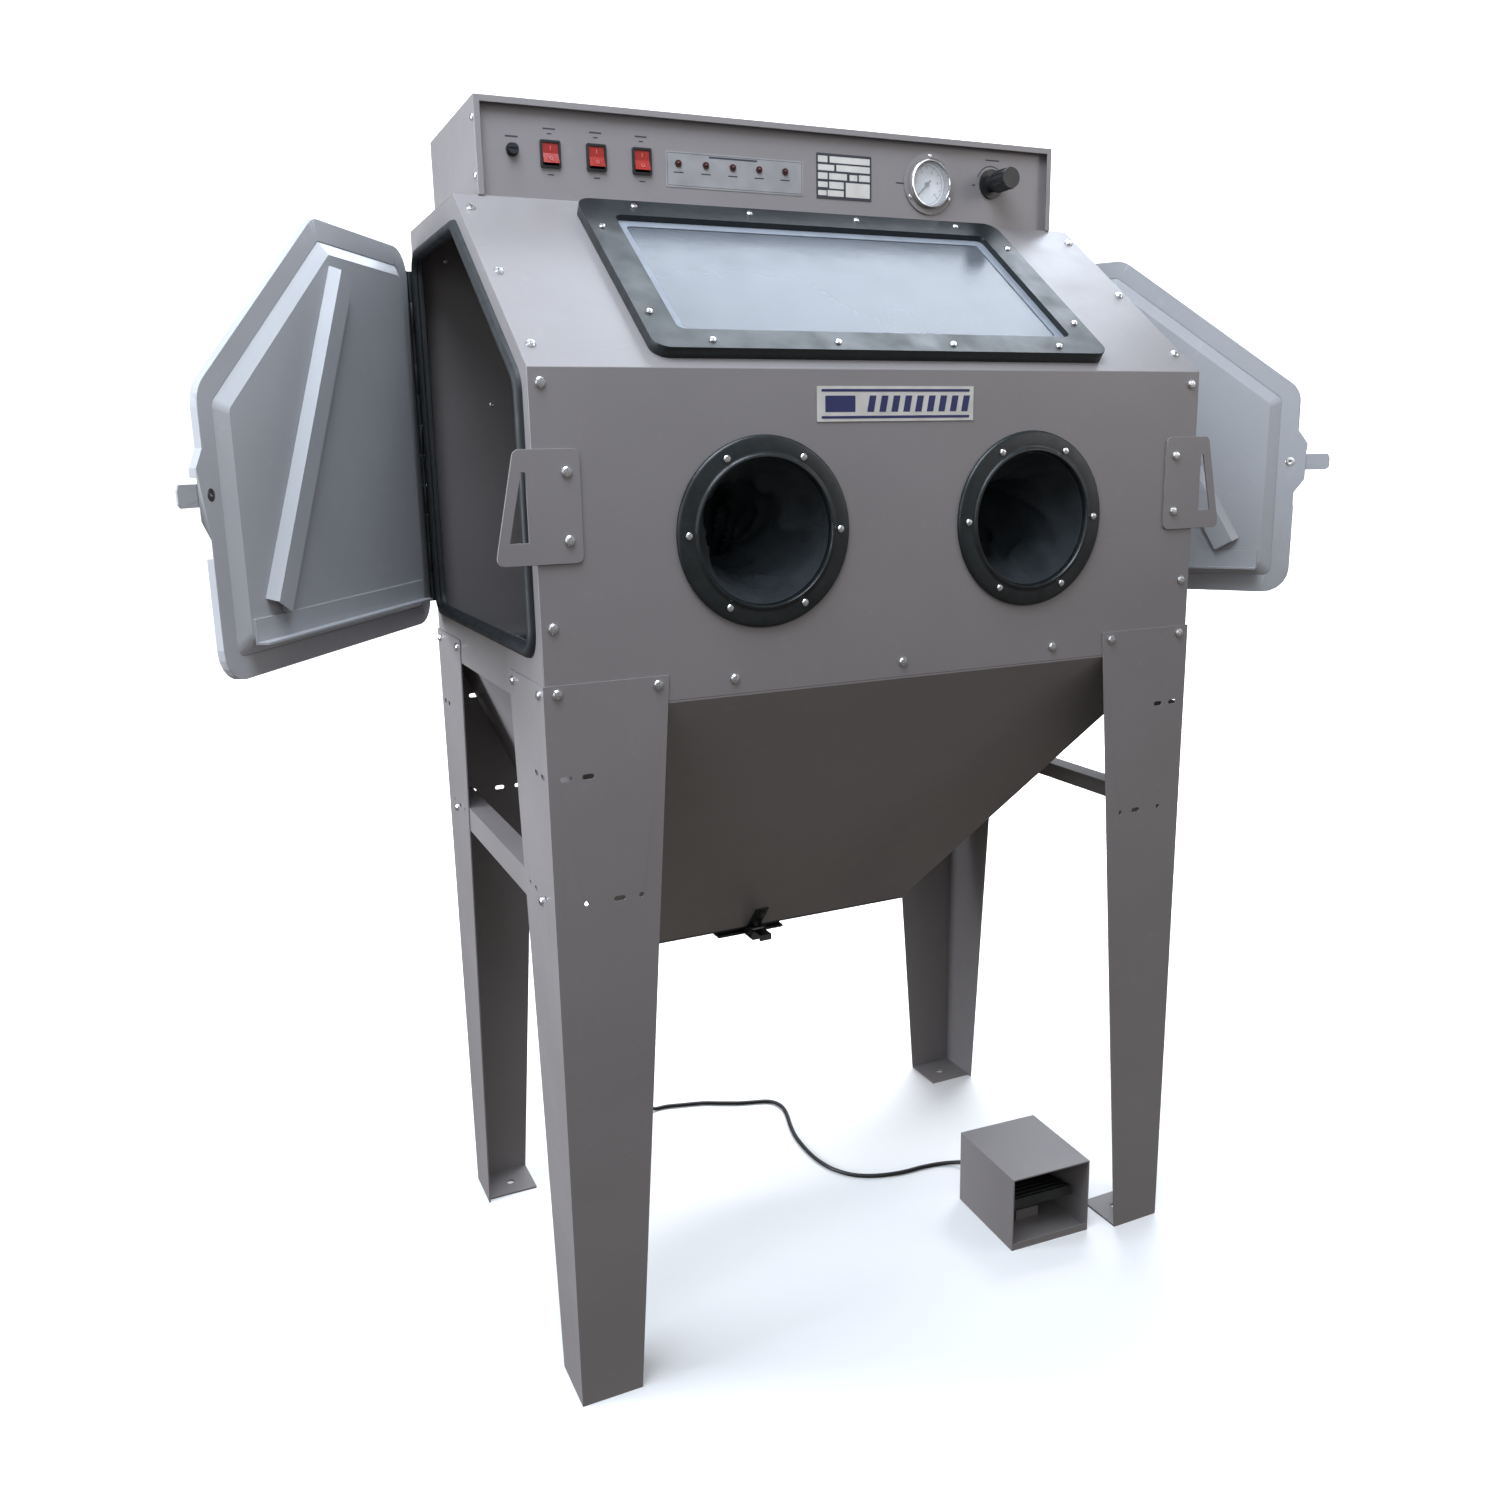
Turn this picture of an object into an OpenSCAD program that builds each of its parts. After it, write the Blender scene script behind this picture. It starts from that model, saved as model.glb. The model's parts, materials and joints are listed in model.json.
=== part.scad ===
// Sandblast cabinet on four sheet-steel legs: a glove cabinet with a sloped window, two side
// doors, a media hopper with a trap door, a control box on the roof and a loose foot pedal.
// Origin on the floor, midway between the four anchor holes. +X is the user's right, +Y is
// away from the user, +Z is up. Both side doors stand part open, as they are left in use.

/* [Cabinet body] */
// Width of the sheet-metal body
body_w = 920; // [900:2:940]
// Depth of the body, front to back
body_d = 566; // [556:2:576]
// Height of the bend between the body and the hopper
body_bottom = 886; // [880:1:890]
// Height of the bend between the upright front and the sloped front
front_top = 1256; // [1250:1:1262]
// Height of the flat roof
body_top = 1477; // [1470:1:1484]
// Horizontal run of the sloped front
slope_run = 289; // [280:1:296]
// Thickness of the folded sheet
sheet = 2; // [1.5:0.5:2]

/* [Legs and hopper] */
// Height of the leg tops
leg_top = 917; // [910:1:924]
// Width of each leg flange at its top
leg_w_top = 149; // [140:1:155]
// Width of each leg flange at the floor
leg_w_foot = 80; // [76:1:90]
// Underside of the hopper floor
hopper_bottom = 426; // [420:1:440]
// Width of the hopper floor
hopper_w = 496; // [480:2:510]
// Distance from the body front to the front edge of the hopper floor
hopper_front_run = 395; // [385:1:400]
// Depth of the hopper floor
hopper_d = 125; // [122:1:135]

/* [Window and glove ports] */
// Width of the window frame
frame_w = 626; // [616:2:636]
// Length of the window frame along the slope
frame_l = 328; // [320:2:334]
// Width of the clear glass
view_w = 547; // [530:1:550]
// Length of the clear glass along the slope
view_l = 253; // [245:1:256]
// Thickness of the window frame
frame_t = 14; // [12:1:16]
// Distance of each glove port from the middle of the cabinet
port_x = 188; // [180:1:196]
// Height of the glove ports
port_z = 1073; // [1065:1:1080]
// Outer radius of the glove rings
ring_r = 110.5; // [108:0.5:112]
// Radius of the glove port
port_r = 84; // [83:0.5:85]

/* [Side doors] */
// Angle at which both doors stand open
door_rest = 35; // [33:1:40]
// Lowest edge of the door seal
seal_bottom = 942; // [938:1:946]
// Highest edge of the door seal
seal_top = 1447; // [1443:1:1450]
// Height at which the seal leaves the upright front edge
seal_shoulder = 1247; // [1242:1:1250]
// Distance of the seal's front and rear edges from the middle of the body
seal_half_d = 262; // [260:0.5:263]
// Height of the raised panel pressed into each door
door_depth = 10; // [8:1:12]

/* [Control box] */
// Width of the control box
box_w = 857; // [850:1:860]
// Height of the control box
box_h = 113.5; // [110:0.5:116]
// Front edge of the control box, measured from the middle of the body
box_front = 3; // [2:0.5:4]
// Rear edge of the control box, measured from the middle of the body
box_rear = 260.5; // [255:0.5:264]
// Set-back of the control panel behind the box's front hem
panel_recess = 10; // [9:0.5:12]

/* [Foot pedal] */
// Width of the pedal housing
pedal_w = 134; // [130:1:138]
// Depth of the pedal housing
pedal_d = 146; // [142:1:150]
// Height of the pedal housing
pedal_h = 116; // [112:1:120]
// Diameter of the pedal's cable
cord_d = 6.5; // [6:0.5:7]

/* [Hidden] */

$fn = 48;
eps = 0.5;                                   // overlap of a cut past a face
half_w = body_w / 2;
half_d = body_d / 2;
slope_angle = atan2(body_top - front_top, slope_run);
slope_len = norm([body_top - front_top, slope_run]);

grey = [0.50, 0.49, 0.47];
pale_grey = [0.68, 0.70, 0.73];
black = [0.09, 0.10, 0.10];
steel = [0.75, 0.75, 0.74];

// ---------------------------------------------------------------- helpers

module both_sides() {
    children();
    mirror([1, 0, 0]) children();
}

// A flat shape drawn in (y, z), as a plate from x towards +X.
module side_plate(x, t) {
    translate([x, 0, 0]) rotate([90, 0, 90]) linear_extrude(t) children();
}

// A flat shape drawn in (x, z), as a plate from y towards the user.
module front_plate(y, t) {
    translate([0, y, 0]) rotate([90, 0, 0]) linear_extrude(t) children();
}

// A cylinder along X from x0 to x1.
module rod_x(x0, x1, y, z, r) {
    translate([x0, y, z]) rotate([0, 90, 0]) cylinder(h = x1 - x0, r = r);
}

module box(low, high) {
    translate(low) cube(high - low);
}

module rounded_rect(w, h, r) {
    square([w - 2 * r, h], center = true);
    square([w, h - 2 * r], center = true);
    for (x = [-1, 1], y = [-1, 1])
        translate([x * (w / 2 - r), y * (h / 2 - r)]) circle(r);
}

// A slot of half-width r, from end to end `len`, along x.
module slot_shape(len, r) {
    square([len - 2 * r, 2 * r], center = true);
    for (x = [-1, 1]) translate([x * (len / 2 - r), 0]) circle(r, $fn = 24);
}

function unit(v) = v / norm(v);

// The arc that rounds corner b of the path a-b-c.
function corner_arc(a, b, c, r, n) =
    let (u = unit(a - b), v = unit(c - b), half = acos(u * v) / 2,
        middle = b + unit(u + v) * r / sin(half),
        first = b + u * r / tan(half) - middle, last = b + v * r / tan(half) - middle,
        start = atan2(first.y, first.x), raw = atan2(last.y, last.x) - start,
        turn = raw > 180 ? raw - 360 : (raw < -180 ? raw + 360 : raw))
    [for (i = [0 : n]) middle + r * [cos(start + turn * i / n), sin(start + turn * i / n)]];

function round_path(p, r, n) =
    let (m = len(p))
    [for (i = [0 : m - 1]) each corner_arc(p[(i + m - 1) % m], p[i], p[(i + 1) % m], r, n)];

// A five-sided outline in (y, z) with one sloped edge, pulled in by d on every side.
function five_sided(front, rear, low, high, shoulder, d) =
    let (a = slope_angle, crest = front + (high - shoulder) / tan(a))
    [[front + d, low + d],
     [front + d, shoulder - d * (1 - sin(a)) / cos(a)],
     [crest + d * (1 - cos(a)) / sin(a), high - d],
     [rear - d, high - d],
     [rear - d, low + d]];

function body_outline(d) =
    five_sided(-half_d, half_d, body_bottom - sheet, body_top, front_top, d);

function door_outline(d) =
    five_sided(-seal_half_d, seal_half_d, seal_bottom, seal_top, seal_shoulder, d);

function door_round(d) = round_path(door_outline(d), max(34 - d, 8), 5);

// On the sloped front: x along the width, y up the slope from the lower bend, z outwards.
module on_slope() {
    translate([0, -half_d, front_top]) rotate([slope_angle, 0, 0]) children();
}

// On the control panel's face: x along the width, y up, z towards the user.
panel_y = box_front + panel_recess;
module on_panel(p) {
    translate([p.x, panel_y, p.y]) rotate([90, 0, 0]) children();
}

// ---------------------------------------------------------------- body sheets

module port_places() {
    for (s = [-1, 1]) translate([s * port_x, -half_d, port_z]) rotate([90, 0, 0]) children();
}

module front_top_panel() {
    outer = body_outline(0);
    inner = body_outline(sheet);
    profile = [[outer[1].x, body_bottom], outer[1], outer[2], [half_d, body_top],
        [half_d, body_top - sheet], inner[2], inner[1], [inner[1].x, body_bottom]];
    color(grey) difference() {
        side_plate(-half_w, body_w) polygon(profile);
        port_places() translate([0, 0, -20]) cylinder(h = 40, r = port_r);
        on_slope() translate([0, slope_len / 2, -20]) linear_extrude(40)
            rounded_rect(view_w, view_l, 10);
    }
}

gland_x = -160;                              // place of the pedal cable's gland
gland_z = 940;
exhaust_x = 250;                             // place of the exhaust spigot
exhaust_z = 1535;
module back_panel() {
    color(grey) difference() {
        front_plate(half_d, sheet) translate([-half_w, body_bottom])
            square([body_w, body_top - sheet - body_bottom]);
        translate([gland_x, half_d - 10, gland_z]) rotate([-90, 0, 0]) cylinder(h = 20, r = 6.2);
    }
}

flange = 18;                                 // depth of the folded edges of the side panels
module left_side_panel() {
    color(pale_grey) {
        difference() {
            side_plate(-half_w, sheet) polygon(body_outline(sheet));
            side_plate(-half_w - eps, sheet + 2 * eps) polygon(door_round(8));
        }
        difference() {
            side_plate(-half_w, flange) polygon(body_outline(sheet));
            side_plate(-half_w - eps, flange + 2 * eps) polygon(body_outline(2 * sheet));
        }
    }
}
module right_side_panel() {
    mirror([1, 0, 0]) left_side_panel();
}

// ---------------------------------------------------------------- hopper

hopper_top = body_bottom - sheet;
hopper_inset = 15;                           // step from the body side to the hopper's side
hopper_rear_y = hopper_front_run + hopper_d - half_d;
hopper_front_y = hopper_front_run - half_d;
drop = hopper_top - hopper_bottom;
side_run = half_w - hopper_inset - hopper_w / 2;
rear_run = half_d - hopper_rear_y;
// Horizontal thickness of each sloped plate.
front_t = sheet * norm([1, hopper_front_run / drop]);
side_t = sheet * norm([1, side_run / drop]);
rear_t = sheet * norm([1, rear_run / drop]);

// The hopper's corner at height share k (0 bottom, 1 top), on the outer face or the inner one.
function hopper_point(sx, sy, k, inside) =
    [sx * (hopper_w / 2 + side_run * k - side_t * inside),
     sy < 0 ? hopper_front_y - hopper_front_run * k + front_t * inside
            : hopper_rear_y + rear_run * k - rear_t * inside,
     hopper_bottom + drop * k];

// A mitred plate between two of the hopper's corner lines.
module hopper_plate(a, b) {
    corners = [for (inside = [0, 1])
        each [hopper_point(a.x, a.y, 0, inside), hopper_point(b.x, b.y, 0, inside),
              hopper_point(b.x, b.y, 1, inside), hopper_point(a.x, a.y, 1, inside)]];
    polyhedron(corners, [[3, 2, 1, 0], [4, 5, 6, 7], [0, 1, 5, 4], [1, 2, 6, 5], [2, 3, 7, 6],
        [3, 0, 4, 7]]);
}

upstand = 30;                                // height of the edges screwed to the body
module hopper_front() {
    color(grey) {
        hopper_plate([-1, -1], [1, -1]);
        box([-half_w + 20, -half_d + sheet, hopper_top],
            [half_w - 20, -half_d + 2 * sheet, hopper_top + upstand]);
        box([-half_w + hopper_inset, -half_d, hopper_top - 0.01],
            [half_w - hopper_inset, -half_d + 2 * sheet, body_bottom]);
    }
}

module hopper_rear() {
    color(grey) {
        hopper_plate([1, 1], [-1, 1]);
        box([-half_w + 20, half_d - 2 * sheet, hopper_top],
            [half_w - 20, half_d - sheet, hopper_top + upstand]);
        box([-half_w + hopper_inset, half_d - 2 * sheet, hopper_top - 0.01],
            [half_w - hopper_inset, half_d, body_bottom]);
    }
}

module hopper_left() {
    color(grey) {
        hopper_plate([-1, 1], [-1, -1]);
        box([-half_w, -half_d + sheet, hopper_top],
            [-half_w + hopper_inset, half_d - sheet, body_bottom]);
    }
}
module hopper_right() {
    mirror([1, 0, 0]) hopper_left();
}

trap_x = -30;                                // the outlet sits a little left of the middle
trap_y = hopper_front_y + hopper_d / 2 + 2;
trap_w = 114;
trap_l = 108;
trap_pin_y = trap_y + trap_l / 2 + 6;
trap_z = hopper_bottom - sheet - 10;         // upper face of the trap door
trap_pin_z = trap_z - 2;
lug_x = 44;                                  // the hinge lugs, either side of the outlet
module hopper_floor() {
    color(black) difference() {
        union() {
            box([-hopper_w / 2, hopper_front_y, hopper_bottom - sheet],
                [hopper_w / 2, hopper_rear_y, hopper_bottom]);
            translate([trap_x, trap_y, trap_z]) linear_extrude(10)
                square([trap_w - 4, trap_l - 14], center = true);
            for (s = [-1, 1]) translate([trap_x + s * lug_x - 3, 0, 0]) {
                box([0, trap_pin_y - 6, trap_pin_z], [6, trap_pin_y + 6, hopper_bottom - 1]);
                rod_x(0, 6, trap_pin_y, trap_pin_z, 6);
            }
            // strap up the sloped front that carries the latch ears, with its bolt
            translate([trap_x, hopper_front_y, hopper_bottom])
                rotate([atan2(hopper_front_run, drop), 0, 0]) {
                box([-11, -2.5, 0], [11, -0.02, 52]);
                translate([3, -2.4, 42]) rotate([90, 0, 0]) cylinder(h = 4, r = 5);
            }
            for (s = [-1, 1]) side_plate(trap_x + s * 12.5 - 1.5, 3)
                polygon([[hopper_front_y + 12, hopper_bottom - sheet], [hopper_front_y + 12,
                    trap_z + 2], [latch_y - 4, latch_z - 6], [latch_y - 6, latch_z + 2],
                    [latch_y - 2, latch_z + 6], [hopper_front_y - 4, hopper_bottom - 0.5],
                    [hopper_front_y + 0.5, hopper_bottom - 0.5]]);
            rod_x(trap_x - 16, trap_x + 16, latch_y, latch_z, 2.5);
        }
        translate([trap_x, trap_y, trap_z - eps]) linear_extrude(20)
            square([trap_w - 16, trap_l - 26], center = true);
        rod_x(trap_x - 60, trap_x + 60, trap_pin_y, trap_pin_z, 2.55);
    }
}

module trap_door() {
    color(black) {
        difference() {
            box([trap_x - trap_w / 2, trap_y - trap_l / 2 - 2, trap_z - 4],
                [trap_x + trap_w / 2, trap_pin_y - 1, trap_z]);
            for (s = [-1, 1]) translate([trap_x + s * lug_x - 4, 0, 0])
                box([0, trap_pin_y - 8, trap_z - 5], [8, trap_pin_y, trap_z + 1]);
        }
        rod_x(trap_x - lug_x - 6, trap_x + lug_x + 6, trap_pin_y, trap_pin_z, 2.5);
        rod_x(trap_x - lug_x + 5, trap_x + lug_x - 5, trap_pin_y, trap_pin_z, 4);
    }
}

// Trap latch: a lever on two ears in front of the outlet, its claw under the trap's front lip.
latch_y = hopper_front_y - 14;
latch_z = hopper_bottom - 2;
latch_reach = 27;                            // from the pivot back to the claw's end
module trap_latch() {
    color(steel) {
        difference() {
            union() {
                rod_x(trap_x - 10, trap_x + 10, latch_y, latch_z, 5);
                box([trap_x - 10, latch_y - 32, latch_z - 1.5], [trap_x + 10, latch_y,
                    latch_z + 1.5]);
                box([trap_x - 10, latch_y - 32, latch_z - 8], [trap_x + 10, latch_y - 29.5,
                    latch_z + 1.5]);
                box([trap_x - 9, latch_y - 2, trap_z - 7], [trap_x + 9, latch_y + 2, latch_z]);
                box([trap_x - 9, latch_y - 2, trap_z - 7], [trap_x + 9,
                    latch_y + latch_reach, trap_z - 4.1]);
            }
            rod_x(trap_x - 11, trap_x + 11, latch_y, latch_z, 2.55);
        }
    }
}

// ---------------------------------------------------------------- legs and braces

leg_t = 2;
anchor_in = 45;                              // anchor hole, in from the leg's outer side
anchor_back = 40;                            // anchor hole, in from the leg's outer front
anchor_r = 6;
leg_x = half_w + leg_t;                      // the legs' outer faces
leg_y = half_d + leg_t;
row_high = 810;                              // heights of the two rows of fixing slots
row_low = 660;

// One flange as a flat shape: x is the distance from the leg's outer corner.
module leg_flange() {
    difference() {
        polygon([[0, 0], [0, leg_top], [leg_w_top, leg_top], [leg_w_foot, 0]]);
        for (x = [21, 47]) translate([x, row_high]) slot_shape(14, 3);
        translate([78, row_low]) slot_shape(14, 3);
        for (x = [38, 105]) translate([x, row_low]) circle(3, $fn = 24);
    }
}

module leg() {
    color(grey) translate([-leg_x, -leg_y, 0]) {
        translate([0, leg_t, 0]) rotate([90, 0, 0]) linear_extrude(leg_t) leg_flange();
        rotate([90, 0, 90]) linear_extrude(leg_t) leg_flange();
        difference() {
            cube([leg_w_foot, leg_w_foot - 8, leg_t + 1]);
            translate([anchor_in, anchor_back, -eps]) cylinder(h = 6, r = anchor_r);
        }
    }
}
module front_left_leg() {
    leg();
}
module front_right_leg() {
    mirror([1, 0, 0]) leg();
}
module rear_left_leg() {
    mirror([0, 1, 0]) leg();
}
module rear_right_leg() {
    rotate([0, 0, 180]) leg();
}

module side_braces() {
    color(pale_grey) both_sides() {
        box([-half_w, -half_d + 10, 634], [-half_w + 2, half_d - 10, 669]);
        box([-half_w, -half_d + 10, 667], [-half_w + 30, half_d - 10, 669]);
    }
}

// ---------------------------------------------------------------- window, gloves, interior

module window_frame() {
    color(black) on_slope() translate([0, slope_len / 2, 0]) difference() {
        linear_extrude(frame_t) rounded_rect(frame_w, frame_l, 20);
        translate([0, 0, -eps]) linear_extrude(frame_t + 1) rounded_rect(view_w, view_l, 10);
        translate([0, 0, -eps]) linear_extrude(glass_t + 2 * eps)
            rounded_rect(view_w + 22, view_l + 22, 14);
    }
}

glass_t = 5;
module window_glass() {
    color([0.78, 0.86, 0.92, 0.6]) on_slope() translate([0, slope_len / 2, 0])
        linear_extrude(glass_t) rounded_rect(view_w + 20, view_l + 20, 13);
}

ring_t = 6;
module glove_rings() {
    color(black) port_places() rotate_extrude($fn = 96) polygon([[port_r, 0], [ring_r, 0],
        [ring_r, ring_t - 3], [ring_r - 2, ring_t], [port_r + 3, ring_t],
        [port_r, ring_t - 2]]);
}

// Rubberised sleeve and glove, hanging inside from the port.
sleeve_r = port_r - 0.5;
sleeve_len = 190;
wrist_r = 60;
arm_len = 100;
module glove_solid(pull) {
    translate([0, -half_d - 3 - (pull > 0 ? eps : 0), 0]) rotate([-90, 0, 0])
        cylinder(h = sleeve_len + (pull > 0 ? eps : 0), r1 = sleeve_r - pull,
            r2 = wrist_r - pull);
    translate([0, -half_d - 3 + sleeve_len, 0]) {
        sphere(wrist_r - pull);
        rotate([-135, 0, 0]) cylinder(h = arm_len, r1 = wrist_r - pull, r2 = 46 - pull);
        rotate([-135, 0, 0]) translate([0, 0, arm_len]) sphere(46 - pull);
    }
}
module left_glove() {
    color([0.05, 0.06, 0.07]) translate([-port_x, 0, port_z]) difference() {
        glove_solid(0);
        glove_solid(3);
    }
}
module right_glove() {
    mirror([1, 0, 0]) left_glove();
}

grate_x = half_w - 20;
grate_y = half_d - 5;
module work_grate() {
    color([0.30, 0.31, 0.32]) {
        difference() {
            box([-grate_x, -grate_y, body_bottom + 2], [grate_x, grate_y, body_bottom + 14]);
            box([-grate_x + 12, -grate_y + 12, body_bottom], [grate_x - 12, grate_y - 12,
                body_bottom + 16]);
        }
        for (i = [1 : 27]) translate([-grate_x + i * 2 * grate_x / 28 - 2, -grate_y + 12,
            body_bottom + 4]) cube([4, 2 * (grate_y - 12), 8]);
        for (y = [-140, 0, 140]) translate([-grate_x + 12, y - 3, body_bottom + 3])
            cube([2 * (grate_x - 12), 6, 5]);
    }
}

lamp_half = 250;
lamp_y = 130;
lamp_z = body_top - sheet;
module lamp_housing() {
    color(pale_grey) {
        box([-lamp_half, lamp_y - 30, lamp_z - 22], [lamp_half, lamp_y + 30, lamp_z]);
        for (s = [-1, 1]) box([s * (lamp_half - 8) - 8, lamp_y - 14, lamp_z - 52],
            [s * (lamp_half - 8) + 8, lamp_y + 14, lamp_z - 22]);
    }
}
module lamp_tube() {
    color([0.95, 0.95, 0.90]) rod_x(-lamp_half + 16, lamp_half - 16, lamp_y, lamp_z - 40, 11);
}

gun_x = 150;
gun_y = half_d - 50;
gun_z = 1180;
barrel_r = 15;
module gun_hook() {
    color(grey) {
        box([gun_x - 50, half_d - sheet - 3, gun_z - 40], [gun_x + 50, half_d - sheet,
            gun_z + 30]);
        for (s = [-1, 1]) difference() {
            side_plate(gun_x + s * 38 - 2, 4) polygon([[gun_y - 22, gun_z + 12],
                [gun_y - 22, gun_z - 20], [half_d - 5, gun_z - 38], [half_d - 5, gun_z + 12]]);
            side_plate(gun_x + s * 38 - 3, 6) translate([gun_y, gun_z]) {
                circle(barrel_r + 0.4);
                translate([-barrel_r - 0.4, 0]) square([2 * barrel_r + 0.8, 20]);
            }
        }
    }
}
module blast_gun() {
    color([0.70, 0.71, 0.72]) {
        difference() {
            union() {
                rod_x(gun_x - 60, gun_x + 62, gun_y, gun_z, barrel_r);
                translate([gun_x - 8, gun_y, gun_z]) rotate([180, -10, 0])
                    cylinder(h = 96, r = 13);
            }
            rod_x(gun_x - 61, gun_x - 30, gun_y, gun_z, 9);
            rod_x(gun_x + 40, gun_x + 63, gun_y, gun_z, 6);
        }
    }
    color([0.93, 0.91, 0.86]) difference() {
        rod_x(gun_x - 84, gun_x - 30, gun_y, gun_z, 9);
        rod_x(gun_x - 85, gun_x - 29, gun_y, gun_z, 3.5);
    }
}

// ---------------------------------------------------------------- control box

box_top = body_top + box_h;
box_t = 1.5;
hem = 8;
module control_box_shell() {
    x = box_w / 2;
    color(pale_grey) difference() {
        box([-x, box_front, body_top], [x, box_rear, box_top]);
        box([-x + box_t, box_front + box_t, body_top - eps], [x - box_t, box_rear - box_t,
            box_top - box_t]);
        box([-x + hem, box_front - eps, body_top - eps], [x - hem, box_front + 4,
            box_top - hem]);
        translate([exhaust_x, box_rear - 5, exhaust_z]) rotate([-90, 0, 0])
            cylinder(h = 10, r = 23);
    }
}

switch_x = [-333, -273, -212];
switch_z = 1531;
fuse_at = [-381, 1533];
gauge_at = [222, 1531];
regulator_at = [328, 1537];
lamp_row_x = -161.5;                         // first indicator lamp
lamp_step = 38.7;
bezel_w = 26;
bezel_h = 32;
module control_panel() {
    x = box_w / 2 - box_t;
    color(grey) difference() {
        front_plate(panel_y + box_t, box_t) translate([-x, body_top])
            square([2 * x, box_h - box_t]);
        for (sx = switch_x) on_panel([sx, switch_z]) translate([0, 0, -3]) linear_extrude(6)
            square([bezel_w - 3, bezel_h - 3], center = true);
        on_panel(fuse_at) translate([0, 0, -3]) cylinder(h = 6, r = 6);
        on_panel(gauge_at) translate([0, 0, -3]) cylinder(h = 6, r = 31.6);
        on_panel(regulator_at) translate([0, 0, -3]) cylinder(h = 6, r = 10);
        for (i = [0 : 4]) on_panel([lamp_row_x + i * lamp_step, switch_z + 1])
            translate([0, 0, -3]) cylinder(h = 6, r = 3.2);
    }
}

module switch_bezels() {
    color(black) for (sx = switch_x) on_panel([sx, switch_z]) difference() {
        union() {
            linear_extrude(3.5) rounded_rect(bezel_w, bezel_h, 2);
            translate([0, 0, -18]) linear_extrude(18.2)
                square([bezel_w - 3.2, bezel_h - 3.2], center = true);
        }
        translate([0, 0, -15]) linear_extrude(20) square([20.4, 26.6], center = true);
        translate([-11.2, 0, 0]) rotate([0, 90, 0]) cylinder(h = 22.4, r = 2.05);
    }
}

rocker_tilt = 12;
module rocker(sx) {
    on_panel([sx, switch_z]) rotate([-rocker_tilt, 0, 0]) rotate([90, 0, 90]) {
        translate([0, 0, -9.9]) linear_extrude(19.8)
            polygon([[-12.2, 4.6], [-9, -6], [0, -8], [9, -6], [12.2, 4.6], [0, 2.4]]);
        translate([0, 0, -11]) cylinder(h = 22, r = 2);
    }
}
module power_rocker() {
    color([0.75, 0.10, 0.08]) rocker(switch_x[0]);
}
module light_rocker() {
    color([0.75, 0.10, 0.08]) rocker(switch_x[1]);
}
module dust_rocker() {
    color([0.75, 0.10, 0.08]) rocker(switch_x[2]);
}

module fuse_holder() {
    color(black) on_panel(fuse_at) difference() {
        union() {
            cylinder(h = 2, r = 8);
            translate([0, 0, -22]) cylinder(h = 22.1, r = 5.9);
        }
        translate([0, 0, -18]) cylinder(h = 30, r = 4.6);
    }
}
module fuse_cap() {
    color(black) on_panel(fuse_at) difference() {
        union() {
            translate([0, 0, -14]) cylinder(h = 17, r = 4.5);
            translate([0, 0, 2.2]) cylinder(h = 7, r = 6.2);
        }
        translate([-7, -0.8, 7.2]) cube([14, 1.6, 3]);
    }
}

gauge_r = 31.5;
gauge_inner_r = 29.5;
gauge_rest = 225;                            // needle at zero, pointing down and left
module gauge_case() {
    color(steel) on_panel(gauge_at) difference() {
        union() {
            translate([0, 0, -26]) cylinder(h = 26.1, r = gauge_r);
            cylinder(h = 2.5, r = 41);
            cylinder(h = 7, r = 33);
            translate([0, 0, -40]) cylinder(h = 15, r = 7, $fn = 6);
        }
        translate([0, 0, -6]) cylinder(h = 14, r = gauge_inner_r);
        translate([0, 0, -12]) cylinder(h = 12, r = 1.1);
    }
}
module gauge_needle() {
    color("black") on_panel(gauge_at) rotate([0, 0, gauge_rest]) {
        translate([0, 0, -11]) cylinder(h = 8.5, r = 1);
        translate([0, 0, -5]) cylinder(h = 2, r = 3.5);
        translate([0, 0, -4.4]) linear_extrude(0.8) polygon([[-8, -1.2], [-8, 1.2],
            [24, 0.5], [24, -0.5]]);
    }
}
module gauge_lens() {
    color([0.9, 0.95, 1, 0.3]) on_panel(gauge_at) translate([0, 0, 3.5])
        cylinder(h = 2.2, r = gauge_inner_r);
}

module regulator_body() {
    color(black) on_panel(regulator_at) difference() {
        union() {
            cylinder(h = 4, r = 20);
            translate([0, 0, 3.9]) cylinder(h = 12, r = 11);
            translate([0, 0, -3]) cylinder(h = 3.1, r = 9.8);
            translate([-22, -22, -50]) cube([44, 44, 47.1]);
        }
        translate([0, 0, -10]) cylinder(h = 40, r = 4.05);
    }
}
module regulator_knob() {
    color(black) on_panel(regulator_at) {
        translate([0, 0, -9]) cylinder(h = 26, r = 4);
        translate([0, 0, 16.3]) cylinder(h = 34, r = 14);
        for (i = [0 : 11]) rotate([0, 0, i * 30]) translate([14, 0, 20])
            cylinder(h = 26, r = 1.3, $fn = 16);
    }
}

module indicator_lamps() {
    for (i = [0 : 4]) on_panel([lamp_row_x + i * lamp_step, switch_z + 1]) {
        color(steel) difference() {
            union() {
                cylinder(h = 2.5, r = 4.2);
                translate([0, 0, -8]) cylinder(h = 8.1, r = 3.1);
            }
            translate([0, 0, -6]) cylinder(h = 10, r = 2.2);
        }
        color([0.75, 0.2, 0.1]) translate([0, 0, -6]) {
            cylinder(h = 9, r = 2.2);
            translate([0, 0, 9]) sphere(2.2, $fn = 24);
        }
    }
}

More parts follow.
